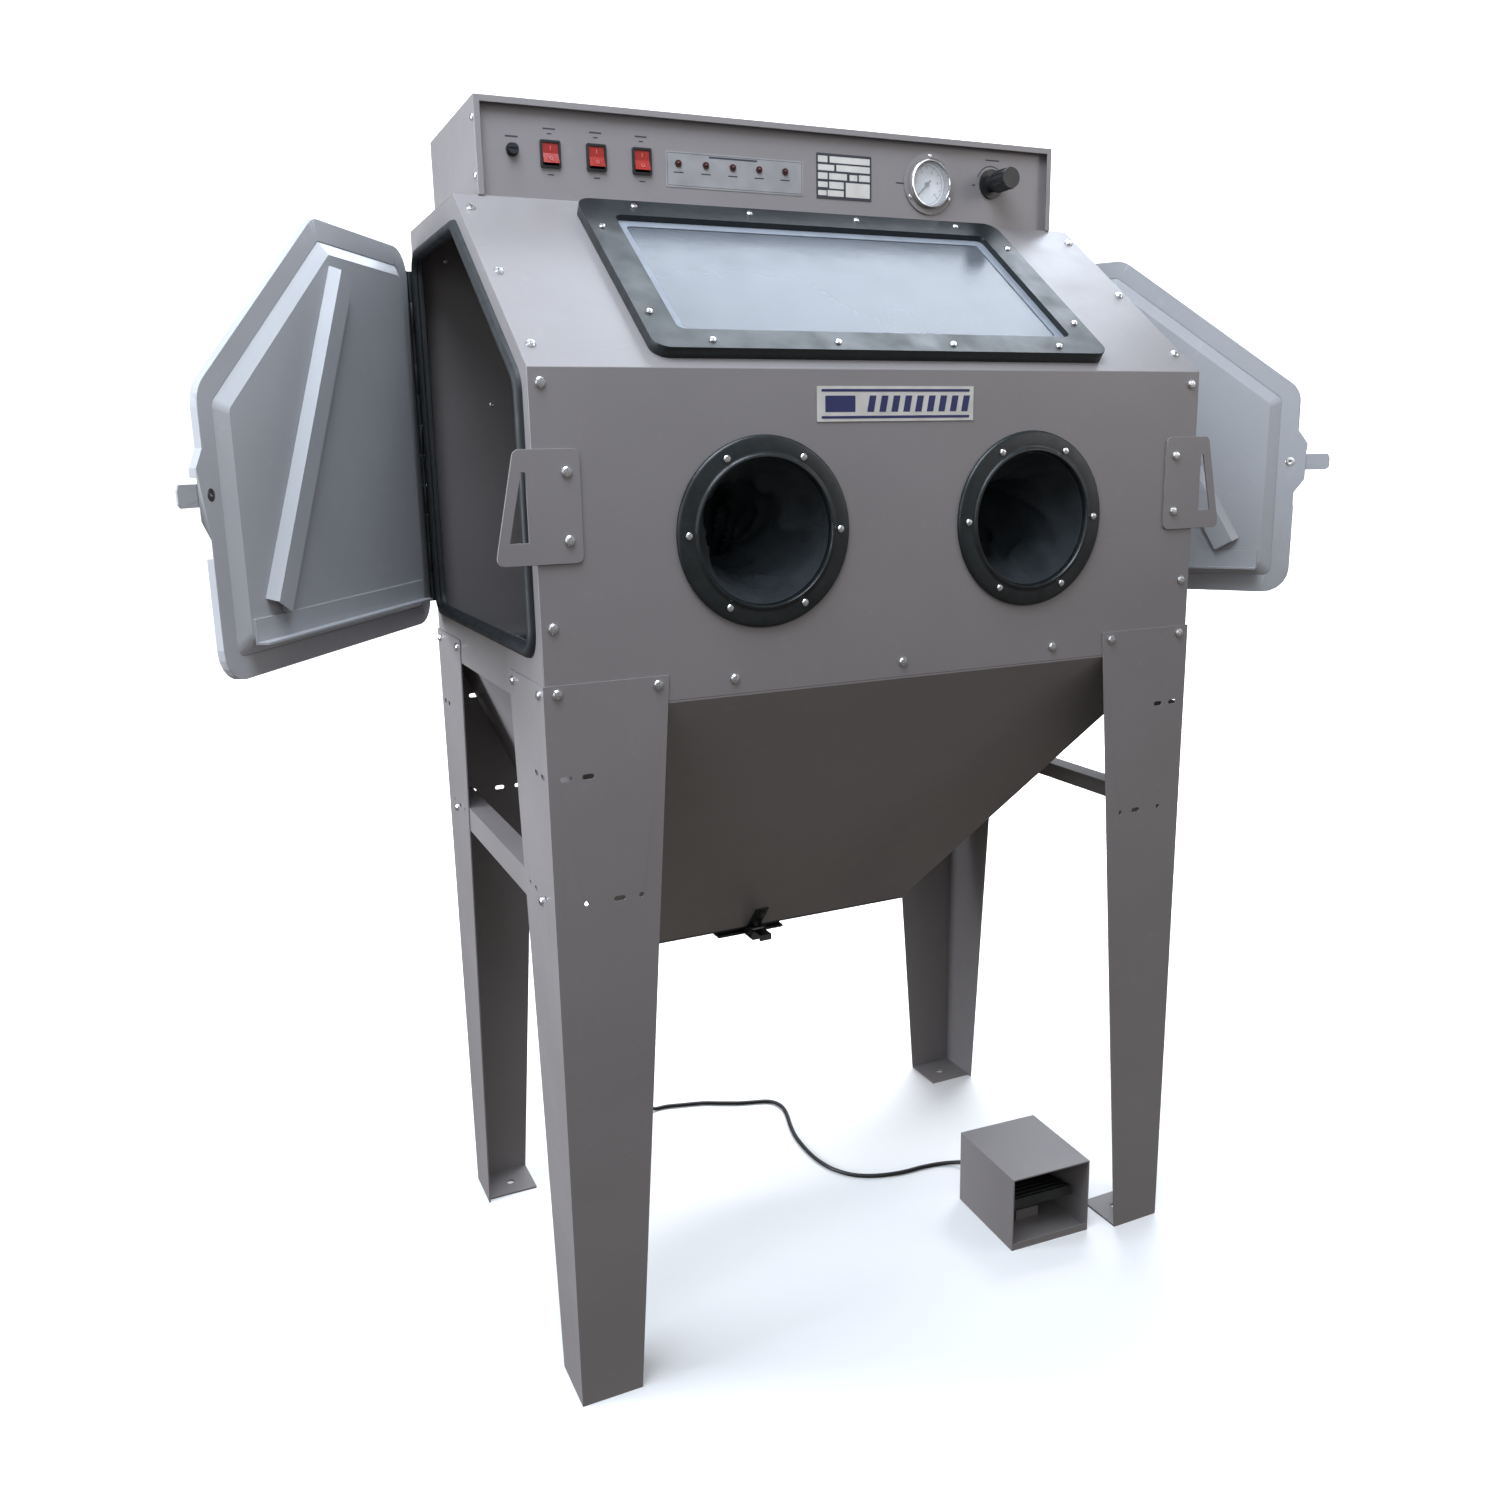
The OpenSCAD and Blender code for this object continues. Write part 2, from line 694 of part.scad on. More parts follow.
module plate_xz(x0, x1, z0, z1, y, t, r) {
    front_plate(y, t) translate([(x0 + x1) / 2, (z0 + z1) / 2]) rounded_rect(x1 - x0,
        z1 - z0, r);
}
module label_plates() {
    color([0.90, 0.89, 0.86]) plate_xz(-119, 98, 1196.5, 1237, -half_d, 1, 1);
    color(grey) difference() {
        plate_xz(-179, 21, 1503, 1547, panel_y, 0.6, 2);
        for (i = [0 : 4]) on_panel([lamp_row_x + i * lamp_step, switch_z + 1])
            translate([0, 0, -1]) cylinder(h = 3, r = 4.6);
    }
    color(black) plate_xz(41, 127.5, 1502, 1560, panel_y, 0.8, 1);
}

fan_x = -200;
module dust_fan() {
    color([0.25, 0.26, 0.28]) {
        translate([fan_x, 140, body_top]) cylinder(h = 62, r = 78);
        translate([fan_x, 140, body_top + 61]) cylinder(h = 44, r = 46);
        box([fan_x + 30, 180, body_top], [fan_x + 150, 218, body_top + 62]);
    }
}
module filter_cartridge() {
    color([0.88, 0.87, 0.82]) {
        difference() {
            rod_x(40, 270, 175, body_top + 54, 50);
            rod_x(60, 271, 175, body_top + 54, 28);
        }
        for (x = [70, 225]) box([x, 150, body_top], [x + 15, 200, body_top + 14]);
    }
}

exhaust_len = 40;
module rear_ports() {
    color(steel) {
        translate([exhaust_x, box_rear, exhaust_z]) rotate([-90, 0, 0]) difference() {
            union() {
                cylinder(h = exhaust_len, r = 25);
                cylinder(h = 3, r = 34);
            }
            translate([0, 0, -eps]) cylinder(h = exhaust_len + 1, r = 22.5);
        }
    }
    color([0.80, 0.66, 0.35]) translate([360, half_d, 1380]) rotate([-90, 0, 0]) {
        cylinder(h = 10, r = 11, $fn = 6);
        translate([0, 0, 10]) cylinder(h = 24, r = 6.5);
    }
    color(black) box([-330, half_d, 1360], [-282, half_d + 6, 1388]);
}

// ---------------------------------------------------------------- doors

seal_t = 8;                                  // how far the seal stands off the side panel
skin = 1.5;                                  // door sheet
rim_x = -half_w - seal_t - 0.3;              // inner face of the closed door's rim
rim_w = 25;                                  // flat rim
step_w = 16;                                 // width of the slanted step inside the rim
door_half_d = seal_half_d + 3;               // the door's front and rear edges
door_low = seal_bottom - 11;
door_high = seal_top + 3;
door_shoulder = seal_shoulder - 7;
door_r = 37;                                 // its outer corners, and those of the panel
panel_r = 12;
hinge_x = rim_x + 0.3;
hinge_y = seal_half_d + 10;
pivot_y = -257;                              // latch pivot on the closed door
pivot_z = 1132;

module left_door_gasket() {
    color(black) {
        difference() {
            side_plate(-half_w - seal_t, seal_t) polygon(door_round(0));
            side_plate(-half_w - seal_t - eps, seal_t + 2 * eps) polygon(door_round(14));
        }
        difference() {
            side_plate(-half_w - eps, 6) polygon(door_round(8.2));
            side_plate(-half_w - 2, 9) polygon(door_round(14));
        }
    }
}
module right_door_gasket() {
    mirror([1, 0, 0]) left_door_gasket();
}

// Turns a part of the closed left door about its hinge to where the door stands.
module stand_open() {
    translate([hinge_x, hinge_y, 0]) rotate([0, 0, -door_rest])
        translate([-hinge_x, -hinge_y, 0]) children();
}

// The door's outline in (y, z), pulled in by d, with corners of radius r.
function door_ring(d, r) =
    round_path(five_sided(-door_half_d, door_half_d, door_low, door_high, door_shoulder, d), r, 5);

// The flat outline of the door with the tab that carries the latch, pulled in by d.
module door_shape(d) {
    polygon(door_ring(d, door_r - d));
    polygon([[-240, 1192 - d], [-door_half_d + d, 1180 - d], [-279 + d, 1160 - d / 2],
        [-279 + d, 1106 + d / 2], [-door_half_d + d, 1086 + d], [-240, 1074 + d]]);
}

// A solid with straight sides between one rounded door outline at x0 and another at x1 < x0.
module door_loft(d0, x0, d1, x1) {
    a = door_ring(d0, panel_r);
    b = door_ring(d1, panel_r);
    n = len(a);
    polyhedron(
        concat([for (p = a) [x0, p.x, p.y]], [for (p = b) [x1, p.x, p.y]]),
        concat([[for (i = [0 : n - 1]) i]], [[for (i = [0 : n - 1]) 2 * n - 1 - i]],
            [for (i = [0 : n - 1]) [i, n + i, n + (i + 1) % n, (i + 1) % n]]));
}

lip = 9;                                     // edge turned outwards around the door
panel_x = rim_x + door_depth;                // inner face of the raised panel
module left_door() {
    color(pale_grey) stand_open() {
        difference() {
            side_plate(rim_x - lip, lip) door_shape(0);
            side_plate(rim_x - lip - eps, lip - skin + eps) door_shape(skin);
            side_plate(rim_x - lip - eps, lip + 2 * eps) polygon(door_ring(rim_w + 0.8, panel_r));
            box([rim_x - lip - 1, -300, pivot_z - 66], [rim_x - skin, -seal_half_d, pivot_z + 18]);
        }
        difference() {
            door_loft(rim_w + step_w, panel_x, rim_w, rim_x - skin);
            door_loft(rim_w + step_w + 1, panel_x - skin, rim_w + 2, rim_x - skin - 0.01);
        }
    }
}
module right_door() {
    mirror([1, 0, 0]) left_door();
}

knuckle_r = 4.5;
hinge_low = 960;                             // ends of the long hinge
hinge_high = 1422;
knuckles = 11;                               // turn by turn on the body and on the door
pitch = (hinge_high - hinge_low) / knuckles;
ledge_z = 968;                               // ledge along the foot of the door's panel
stiffener_lean = 29.3;

// Every second knuckle, from the given one up.
module knuckle_stack(first) {
    for (i = [first : 2 : knuckles - 1])
        translate([hinge_x, hinge_y, hinge_low + i * pitch + 0.2])
            cylinder(h = pitch - 0.4, r = knuckle_r);
}

module left_door_fittings() {
    color(pale_grey) stand_open() {
        // stiffening section, leaning back from the lower front to the upper rear
        translate([panel_x, -191, 1016]) rotate([-stiffener_lean, 0, 0]) linear_extrude(436)
            polygon([[0, 0], [12, 9], [12, 38], [2, 38], [2, 50], [0, 50], [0, 36], [10, 36],
                [10, 10.2], [0, 2.6]]);
        // ledge along the foot of the panel
        box([panel_x, -220, ledge_z], [panel_x + 3, 214, ledge_z + 28]);
        box([panel_x, -220, ledge_z], [panel_x + 16, 214, ledge_z + 2.5]);
        // stud and washer that the latch turns on
        rod_x(rim_x - skin - 0.6 - latch_t, rim_x - skin, pivot_y, pivot_z, 4);
        rod_x(rim_x - skin - 3.6 - latch_t, rim_x - skin - 0.6 - latch_t, pivot_y, pivot_z,
            7);
        // long hinge leaf with its knuckles
        difference() {
            union() {
                box([hinge_x - 12, door_half_d, hinge_low],
                    [hinge_x - 0.3, hinge_y - 3.2, hinge_high]);
                knuckle_stack(1);
            }
            translate([hinge_x, hinge_y, hinge_low - 1]) cylinder(h = hinge_high - hinge_low
                + 2, r = 2.05);
            for (i = [0 : 2 : knuckles - 1]) translate([hinge_x, hinge_y, hinge_low
                + i * pitch - 0.2]) cylinder(h = pitch + 0.4, r = knuckle_r + 0.4);
        }
    }
}
module right_door_fittings() {
    mirror([1, 0, 0]) left_door_fittings();
}

module door_hinges() {
    color(black) both_sides() {
        box([-half_w - 2, hinge_y - 5, hinge_low], [-half_w, half_d - 2, hinge_high]);
        knuckle_stack(0);
        for (i = [0 : 2 : knuckles - 1]) translate([0, 0, hinge_low + i * pitch + 0.2])
            box([hinge_x, hinge_y - 1, 0], [-half_w - 1, hinge_y + 1, pitch - 0.4]);
        translate([hinge_x, hinge_y, hinge_low + 1])
            cylinder(h = hinge_high - hinge_low - 2, r = 2);
    }
}

latch_t = 2.5;
latch_len = 55;                              // from the pivot to the tip of the lever
latch_half_w = 12;
module left_door_latch() {
    x = rim_x - skin - 0.3 - latch_t;
    color(pale_grey) stand_open() difference() {
        side_plate(x, latch_t) {
            translate([pivot_y, pivot_z]) circle(latch_half_w);
            polygon([[pivot_y, pivot_z - latch_half_w], [pivot_y, pivot_z + latch_half_w],
                [pivot_y - latch_len + 3, pivot_z + latch_half_w], [pivot_y - latch_len,
                pivot_z + 6], [pivot_y - latch_len, pivot_z - 8],
                [pivot_y - latch_len + 5, pivot_z - latch_half_w]]);
        }
        rod_x(x - 1, x + latch_t + 1, pivot_y, pivot_z, 4.05);
    }
}
module right_door_latch() {
    mirror([1, 0, 0]) left_door_latch();
}

plate_t = 3;
module catch_plates() {
    color(pale_grey) both_sides() front_plate(-half_d, plate_t) difference() {
        polygon(round_path([[-half_w + 52, 1172], [-half_w - 20.4, 1172],
            [-half_w - 45.7, 1050], [-half_w + 52, 1050]], 8, 4));
        polygon([[-half_w - 8, 1148], [-half_w - 12.9, 1148], [-half_w - 29, 1074],
            [-half_w - 8, 1074]]);
    }
}

// ---------------------------------------------------------------- fasteners

// Pan-head screw seated on a face, its axis along z.
module pan_head(r) {
    difference() {
        rotate_extrude($fn = 24) polygon([[0, 0], [r, 0], [r * 0.96, r * 0.3],
            [r * 0.7, r * 0.56], [0, r * 0.64]]);
        for (a = [0, 90]) rotate([0, 0, a]) translate([-r * 0.5, -r * 0.1, r * 0.38])
            cube([r, r * 0.2, r]);
    }
}

module facing_front(p, y) {
    translate([p.x, y, p.y]) rotate([90, 0, 0]) children();
}

module facing_left(p, x) {
    translate([x, p.x, p.y]) rotate([0, -90, 0]) children();
}

head_r = 6;
module sheet_screws() {
    color(steel) {
        both_sides() {
            for (z = [1240, 980]) facing_front([-half_w + 14, z], -half_d) pan_head(head_r);
            for (s = [41, 186, 330]) on_slope() translate([-half_w + 15, s, 0])
                pan_head(head_r);
            for (z = [1147.5, 1074.5]) facing_front([-half_w + 37, z], -half_d - plate_t)
                pan_head(head_r);
            for (face = [0, 1]) mirror([0, face, 0]) {
                for (x = [16, 135]) facing_front([-leg_x + x, leg_top - 10], -leg_y)
                    pan_head(head_r);
                for (y = [17, 130]) facing_left([-leg_y + y, leg_top - 12], -leg_x)
                    pan_head(head_r);
                facing_left([-leg_y + 55, 652], -leg_x) pan_head(head_r);
            }
            for (z = [1500, 1566]) facing_left([box_front + 9, z], -box_w / 2) pan_head(4.5);
        }
        for (x = [-230, 0, 230]) facing_front([x, body_bottom + 19], -half_d)
            pan_head(head_r);
    }
}

module trim_screws() {
    color(steel) {
        port_places() for (a = [0 : 60 : 300]) rotate([0, 0, a]) translate([97, 0, ring_t])
            pan_head(4.5);
        on_slope() translate([0, slope_len / 2, frame_t]) {
            for (x = [-240, -80, 80, 240], s = [-1, 1]) translate([x, s * 149, 0])
                pan_head(4.5);
            for (x = [-1, 1], s = [-94, 94]) translate([x * 298, s, 0]) pan_head(4.5);
        }
        on_panel(gauge_at) for (a = [90, 210, 330]) rotate([0, 0, a])
            translate([37, 0, 2.5]) pan_head(2.6);
    }
}

// ---------------------------------------------------------------- foot pedal and its cable

pedal_at = [207, -265];                      // front left corner of the housing on the floor
pedal_turn = -3;
pedal_t = 2;
pin_y = pedal_d - 34;
pin_z = 40;
pin_r = 3;
module at_pedal() {
    translate([pedal_at.x, pedal_at.y, 0]) rotate([0, 0, pedal_turn]) children();
}

module pedal_housing() {
    color(pale_grey) at_pedal() {
        difference() {
            cube([pedal_w, pedal_d, pedal_h]);
            box([pedal_t, -eps, pedal_t], [pedal_w - pedal_t, pedal_d - pedal_t,
                pedal_h - pedal_t]);
        }
        box([0, 0, 0], [pedal_w, pedal_t, 11]);
        for (x = [pedal_t - 0.01, pedal_w - pedal_t - 6]) difference() {
            rod_x(x, x + 6.01, pin_y, pin_z, 7);
            rod_x(x - 1, x + 8, pin_y, pin_z, pin_r + 0.05);
        }
        box([pedal_w / 2 - 20, 60, pedal_t - 0.01], [pedal_w / 2 + 20, 84, 18]);
    }
}

pedal_tilt = 12;                             // the resting pedal rises towards the toe
module pedal_plate() {
    color([0.16, 0.17, 0.18]) at_pedal() {
        rod_x(pedal_t + 0.4, pedal_w - pedal_t - 0.4, pin_y, pin_z, pin_r);
        translate([0, pin_y, pin_z]) rotate([-pedal_tilt, 0, 0]) {
            box([14, -88, 1], [pedal_w - 14, 4, 6]);
            for (y = [-84 : 12 : -24]) box([20, y, 5.9], [pedal_w - 20, y + 4, 7.5]);
            box([14, -90, -8], [pedal_w - 14, -86, 6]);
        }
    }
}

relief_len = 18;
cord_out_x = pedal_w / 2;
cord_out_z = 22;
module cord_glands() {
    color(black) {
        translate([gland_x, half_d, gland_z]) rotate([-90, 0, 0]) {
            cylinder(h = 7, r = 10, $fn = 6);
            translate([0, 0, 7]) cylinder(h = relief_len - 7, r1 = 8, r2 = 5);
            translate([0, 0, -8]) cylinder(h = 8.1, r = 6);
        }
        at_pedal() translate([cord_out_x, pedal_d, cord_out_z]) rotate([-90, 0, 0]) {
            cylinder(h = 4, r = 8);
            translate([0, 0, 4]) cylinder(h = relief_len - 4, r1 = 6, r2 = 4.5);
        }
    }
}

// The cable's route: out of the gland at the back, down to the floor, and in loose curves
// under the cabinet to the back of the pedal.
lie = 4;                                     // height of the cable's middle on the floor
cord_route = [[-160, 301, 940], [-160, 316, 938], [-160, 332, 928], [-160, 342, 908],
    [-160, 345, 860], [-159, 345, 760], [-158, 344, 640], [-157, 343, 520],
    [-156, 343, 400], [-155, 343, 280], [-155, 344, 160], [-154, 345, 80], [-150, 347, 40],
    [-140, 351, 15], [-122, 355, 5], [-100, 355, lie], [-75, 348, lie], [-35, 336, lie],
    [-6, 321, lie], [24, 306, lie], [50, 297, lie], [72, 289, lie], [84, 276, lie],
    [88, 255, lie], [83, 228, lie], [72, 192, lie], [64, 156, lie], [61, 118, lie],
    [62, 82, lie], [68, 52, lie], [78, 30, lie], [94, 10, lie], [117, -5, lie],
    [146, -15, lie], [175, -20, lie], [205, -21, lie], [234, -25, lie], [258, -35, 6],
    [273, -53, 12], [279, -74, 19], [280, -94, 22]];

cord_end = let (a = pedal_turn, x = cord_out_x, y = pedal_d + relief_len)
    [pedal_at.x + x * cos(a) - y * sin(a), pedal_at.y + x * sin(a) + y * cos(a), cord_out_z];
route = [for (i = [0 : len(cord_route) - 1]) i == len(cord_route) - 1 ? cord_end
    : cord_route[i]];

function at(p, i) = p[max(0, min(len(p) - 1, i))];
function spline(p, i, t) =
    let (a = at(p, i - 1), b = at(p, i), c = at(p, i + 1), d = at(p, i + 2))
    0.5 * (2 * b + (c - a) * t + (2 * a - 5 * b + 4 * c - d) * t * t
        + (3 * b - a - 3 * c + d) * t * t * t);

// Points along the smooth curve: two to each stretch.
cord_line = concat([for (i = [0 : len(route) - 2], t = [0, 0.5]) spline(route, i, t)],
    [cord_end]);
cord_count = len(cord_line);
function heading(i) = i == 0 ? [0, 1, 0]
    : i == cord_count - 1 ? [sin(pedal_turn), -cos(pedal_turn), 0]
    : unit(cord_line[i + 1] - cord_line[i - 1]);
function across(v, t) = unit(v - t * (v * t));
cord_sides = [for (i = 0, u = [1, 0, 0]; i < cord_count;
    i = i + 1, u = i < cord_count ? across(u, heading(i)) : u) across(u, heading(i))];

ring_sides = 8;
module pedal_cord() {
    r = cord_d / 2;
    points = [for (i = [0 : cord_count - 1], k = [0 : ring_sides - 1])
        let (a = 360 * k / ring_sides, u = cord_sides[i], w = cross(heading(i), u))
        cord_line[i] + r * (cos(a) * u + sin(a) * w)];
    last = (cord_count - 1) * ring_sides;
    color(black) polyhedron(points, concat(
        [[for (k = [0 : ring_sides - 1]) k]],
        [[for (k = [0 : ring_sides - 1]) last + ring_sides - 1 - k]],
        [for (i = [0 : cord_count - 2], k = [0 : ring_sides - 1])
            let (b = i * ring_sides, n = (k + 1) % ring_sides)
            [b + k, b + ring_sides + k, b + ring_sides + n, b + n]]));
}

// ---------------------------------------------------------------- parts by name

front_top_panel();
back_panel();
left_side_panel();
right_side_panel();
hopper_front();
hopper_rear();
hopper_left();
hopper_right();
hopper_floor();
front_left_leg();
front_right_leg();
rear_left_leg();
rear_right_leg();
side_braces();
control_box_shell();
control_panel();
left_door_gasket();
right_door_gasket();
window_frame();
window_glass();
glove_rings();
left_glove();
right_glove();
catch_plates();
work_grate();
lamp_housing();
lamp_tube();
dust_fan();
filter_cartridge();
rear_ports();
gauge_case();
gauge_needle();
gauge_lens();
regulator_body();
regulator_knob();
indicator_lamps();
label_plates();
fuse_holder();
fuse_cap();
switch_bezels();
power_rocker();
light_rocker();
dust_rocker();
sheet_screws();
trim_screws();
blast_gun();
gun_hook();
door_hinges();
left_door();
left_door_fittings();
left_door_latch();
right_door();
right_door_fittings();
right_door_latch();
trap_door();
trap_latch();
pedal_housing();
pedal_plate();
cord_glands();
pedal_cord();
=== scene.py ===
"""Looks for the sandblast cabinet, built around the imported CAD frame. Metres throughout."""
import json
import math

import bmesh
import bpy
from mathutils import Matrix, Vector, noise


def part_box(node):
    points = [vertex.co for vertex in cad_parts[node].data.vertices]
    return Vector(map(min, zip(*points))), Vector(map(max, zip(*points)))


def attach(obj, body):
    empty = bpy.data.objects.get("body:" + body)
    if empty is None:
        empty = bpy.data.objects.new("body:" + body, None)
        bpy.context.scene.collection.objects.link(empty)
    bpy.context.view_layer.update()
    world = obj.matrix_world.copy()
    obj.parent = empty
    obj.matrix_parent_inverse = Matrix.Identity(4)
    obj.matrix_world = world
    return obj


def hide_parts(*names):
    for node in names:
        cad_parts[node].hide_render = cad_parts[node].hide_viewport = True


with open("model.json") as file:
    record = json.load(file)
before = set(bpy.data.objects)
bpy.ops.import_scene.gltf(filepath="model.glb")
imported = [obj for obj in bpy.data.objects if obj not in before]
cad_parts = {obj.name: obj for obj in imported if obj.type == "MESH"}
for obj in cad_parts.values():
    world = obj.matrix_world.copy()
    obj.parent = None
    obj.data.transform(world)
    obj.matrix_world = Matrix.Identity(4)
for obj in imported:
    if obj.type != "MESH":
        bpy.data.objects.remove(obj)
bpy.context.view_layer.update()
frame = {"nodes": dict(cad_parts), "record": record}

NODES = frame["nodes"]
scene = bpy.context.scene

# ------------------------------------------------------------------ camera

YAW, PITCH, ROLL = 0.424, -0.217, -0.022
forward = Vector((math.sin(YAW) * math.cos(PITCH), math.cos(YAW) * math.cos(PITCH),
                  math.sin(PITCH)))
level = Vector((math.cos(YAW), -math.sin(YAW), 0))
upright = level.cross(forward)
cam_x = level * math.cos(ROLL) + upright * math.sin(ROLL)
cam_y = upright * math.cos(ROLL) - level * math.sin(ROLL)
pose = Matrix((cam_x, cam_y, -forward)).transposed().to_4x4()
pose.translation = (-0.8242, -1.6048, 1.1618)
lens = bpy.data.cameras.new("camera")
lens.lens = 30.07
lens.sensor_width = 36
lens.shift_x = 0.0080
lens.shift_y = -0.0129
lens.clip_end = 50
camera = bpy.data.objects.new("camera", lens)
camera.matrix_world = pose
scene.collection.objects.link(camera)
scene.camera = camera


# ------------------------------------------------------------------ materials

class Nodes:
    """A short way to write a node tree: one Principled shader and the nodes that feed it."""

    def __init__(self, name, base, rough, metal=0.0, **sockets):
        self.mat = bpy.data.materials.new(name)
        self.mat.use_nodes = True
        self.tree = self.mat.node_tree
        self.shader = self.tree.nodes["Principled BSDF"]
        self.set(self.shader, "Base Color", (*base, 1))
        self.set(self.shader, "Roughness", rough)
        self.set(self.shader, "Metallic", metal)
        for key, value in sockets.items():
            self.set(self.shader, key.replace("_", " "), value)
        self.place = self.add("ShaderNodeTexCoord").outputs["Object"]
        self.height = None

    def set(self, node, key, value):
        node.inputs[key].default_value = value

    def add(self, kind, **props):
        node = self.tree.nodes.new(kind)
        for key, value in props.items():
            setattr(node, key, value)
        return node

    def link(self, a, b):
        self.tree.links.new(a, b)

    def noise(self, scale, detail=2.0, rough=0.5, stretch=None):
        node = self.add("ShaderNodeTexNoise")
        self.set(node, "Scale", scale)
        self.set(node, "Detail", detail)
        self.set(node, "Roughness", rough)
        if stretch:
            move = self.add("ShaderNodeMapping")
            self.set(move, "Scale", stretch)
            self.link(self.place, move.inputs["Vector"])
            self.link(move.outputs["Vector"], node.inputs["Vector"])
        else:
            self.link(self.place, node.inputs["Vector"])
        return node.outputs["Fac"]

    def ramp(self, source, low, high, a=0.3, b=0.7):
        node = self.add("ShaderNodeValToRGB")
        node.color_ramp.elements[0].position = a
        node.color_ramp.elements[0].color = (*low, 1)
        node.color_ramp.elements[1].position = b
        node.color_ramp.elements[1].color = (*high, 1)
        self.link(source, node.inputs["Fac"])
        return node.outputs["Color"]

    def span(self, source, low, high, a=0.3, b=0.7):
        node = self.add("ShaderNodeMapRange")
        for key, value in (("From Min", a), ("From Max", b), ("To Min", low), ("To Max", high)):
            self.set(node, key, value)
        self.link(source, node.inputs["Value"])
        return node.outputs["Result"]

    def mix(self, factor, a, b):
        node = self.add("ShaderNodeMix", data_type="RGBA")
        self.link(factor, node.inputs["Factor"])
        for key, value in (("A", a), ("B", b)):
            socket = [s for s in node.inputs if s.name == key and s.type == "RGBA"][0]
            if isinstance(value, tuple):
                socket.default_value = (*value, 1)
            else:
                self.link(value, socket)
        return [s for s in node.outputs if s.type == "RGBA"][0]

    def bump(self, source, depth, strength=1.0):
        node = self.add("ShaderNodeBump")
        self.set(node, "Strength", strength)
        self.set(node, "Distance", depth)
        self.link(source, node.inputs["Height"])
        if self.height is not None:
            self.link(self.height, node.inputs["Normal"])
        self.height = node.outputs["Normal"]
        self.link(self.height, self.shader.inputs["Normal"])

    def colour(self, source):
        self.link(source, self.shader.inputs["Base Color"])

    def gloss(self, source):
        self.link(source, self.shader.inputs["Roughness"])


def shade(c, k):
    return tuple(min(1.0, x * k) for x in c)


def enamel(name, base, rough=0.36, wave=0.0010):
    """Powder-coated folded sheet: orange peel, a slow waviness, and faint handling dust."""
    n = Nodes(name, base, rough, Coat_Weight=0.12, Coat_Roughness=0.25)
    cloud = n.noise(3.1, 4, 0.6)
    dust = n.noise(46, 5, 0.7)
    body = n.ramp(cloud, shade(base, 0.94), shade(base, 1.05))
    n.colour(n.mix(n.span(dust, 0, 0.35, 0.58, 0.75), body, shade(base, 1.25)))
    n.gloss(n.span(n.noise(9, 4, 0.65), rough - 0.06, rough + 0.10))
    n.bump(n.noise(2.6, 1, 0.4, (1, 1, 2.2)), wave * 6, 0.35)
    n.bump(n.noise(620, 2, 0.5), 0.00006, 0.6)
    return n.mat


def black_enamel(name, base, rough=0.42, peel=430):
    n = Nodes(name, base, rough)
    n.colour(n.ramp(n.noise(30, 5, 0.7), shade(base, 0.75), shade(base, 1.7)))
    n.gloss(n.span(n.noise(14, 4), rough - 0.08, rough + 0.14))
    n.bump(n.noise(peel, 2), 0.00010, 0.7)
    return n.mat


def metal(name, base, rough, brush=None):
    n = Nodes(name, base, rough, 1.0)
    stretch = brush or (1, 1, 1)
    n.colour(n.ramp(n.noise(60, 4, 0.6, stretch), shade(base, 0.8), shade(base, 1.05)))
    n.gloss(n.span(n.noise(140, 3, 0.6, stretch), rough - 0.06, rough + 0.12))
    n.bump(n.noise(900, 2, 0.5, stretch), 0.00003, 0.5)
    return n.mat


def rubber(name, base, rough=0.55, sheen=0.0):
    n = Nodes(name, base, rough, Sheen_Weight=sheen, Sheen_Roughness=0.4)
    n.colour(n.ramp(n.noise(70, 5, 0.7), shade(base, 0.7), shade(base, 2.0), 0.3, 0.8))
    n.gloss(n.span(n.noise(25, 4), rough - 0.08, rough + 0.12))
    n.bump(n.noise(1100, 2), 0.00008, 0.6)
    return n.mat


def cloth(name, base, rough):
    """Rubberised glove fabric: a fine twill under a dull coating."""
    n = Nodes(name, base, rough, Specular_IOR_Level=0.25)
    worn = n.ramp(n.noise(24, 5, 0.7), shade(base, 0.75), shade(base, 1.5))
    # The cloth turns lighter deeper inside the sleeve: painted light against the sleeve's shade.
    parts = n.add("ShaderNodeSeparateXYZ")
    n.link(n.place, parts.inputs["Vector"])
    depth = n.span(parts.outputs["Y"], 0, 1, -0.26, -0.10)       # painted light: lighter deeper inside the sleeve, where the sleeve's own shade falls
    n.colour(n.mix(depth, worn, shade(base, 4.5)))
    weave = n.add("ShaderNodeTexWave", wave_type="BANDS", bands_direction="DIAGONAL")
    n.set(weave, "Scale", 260)
    n.set(weave, "Distortion", 1.5)
    n.link(n.place, weave.inputs["Vector"])
    n.gloss(n.span(n.noise(40, 4), rough - 0.08, rough + 0.10))
    n.bump(n.noise(38, 4, 0.6), 0.0012, 0.5)
    n.bump(weave.outputs["Fac"], 0.00012, 0.5)
    return n.mat


def plastic(name, base, rough=0.35, grain=700, depth=0.00005):
    n = Nodes(name, base, rough)
    n.colour(n.ramp(n.noise(40, 4), shade(base, 0.9), shade(base, 1.12)))
    n.gloss(n.span(n.noise(30, 3), rough - 0.05, rough + 0.08))
    n.bump(n.noise(grain, 2), depth, 0.6)
    return n.mat


def clear(name, base, rough, alpha):
    """Glass or clear plastic, a little smeared."""
    n = Nodes(name, base, rough, Alpha=alpha, IOR=1.5)
    smear = n.noise(5, 4, 0.6)
    n.colour(n.ramp(smear, shade(base, 0.94), shade(base, 1.05)))
    n.gloss(n.span(n.noise(16, 5, 0.7), rough, rough + 0.10))
    n.bump(n.noise(3, 1), 0.0004, 0.2)
    return n.mat


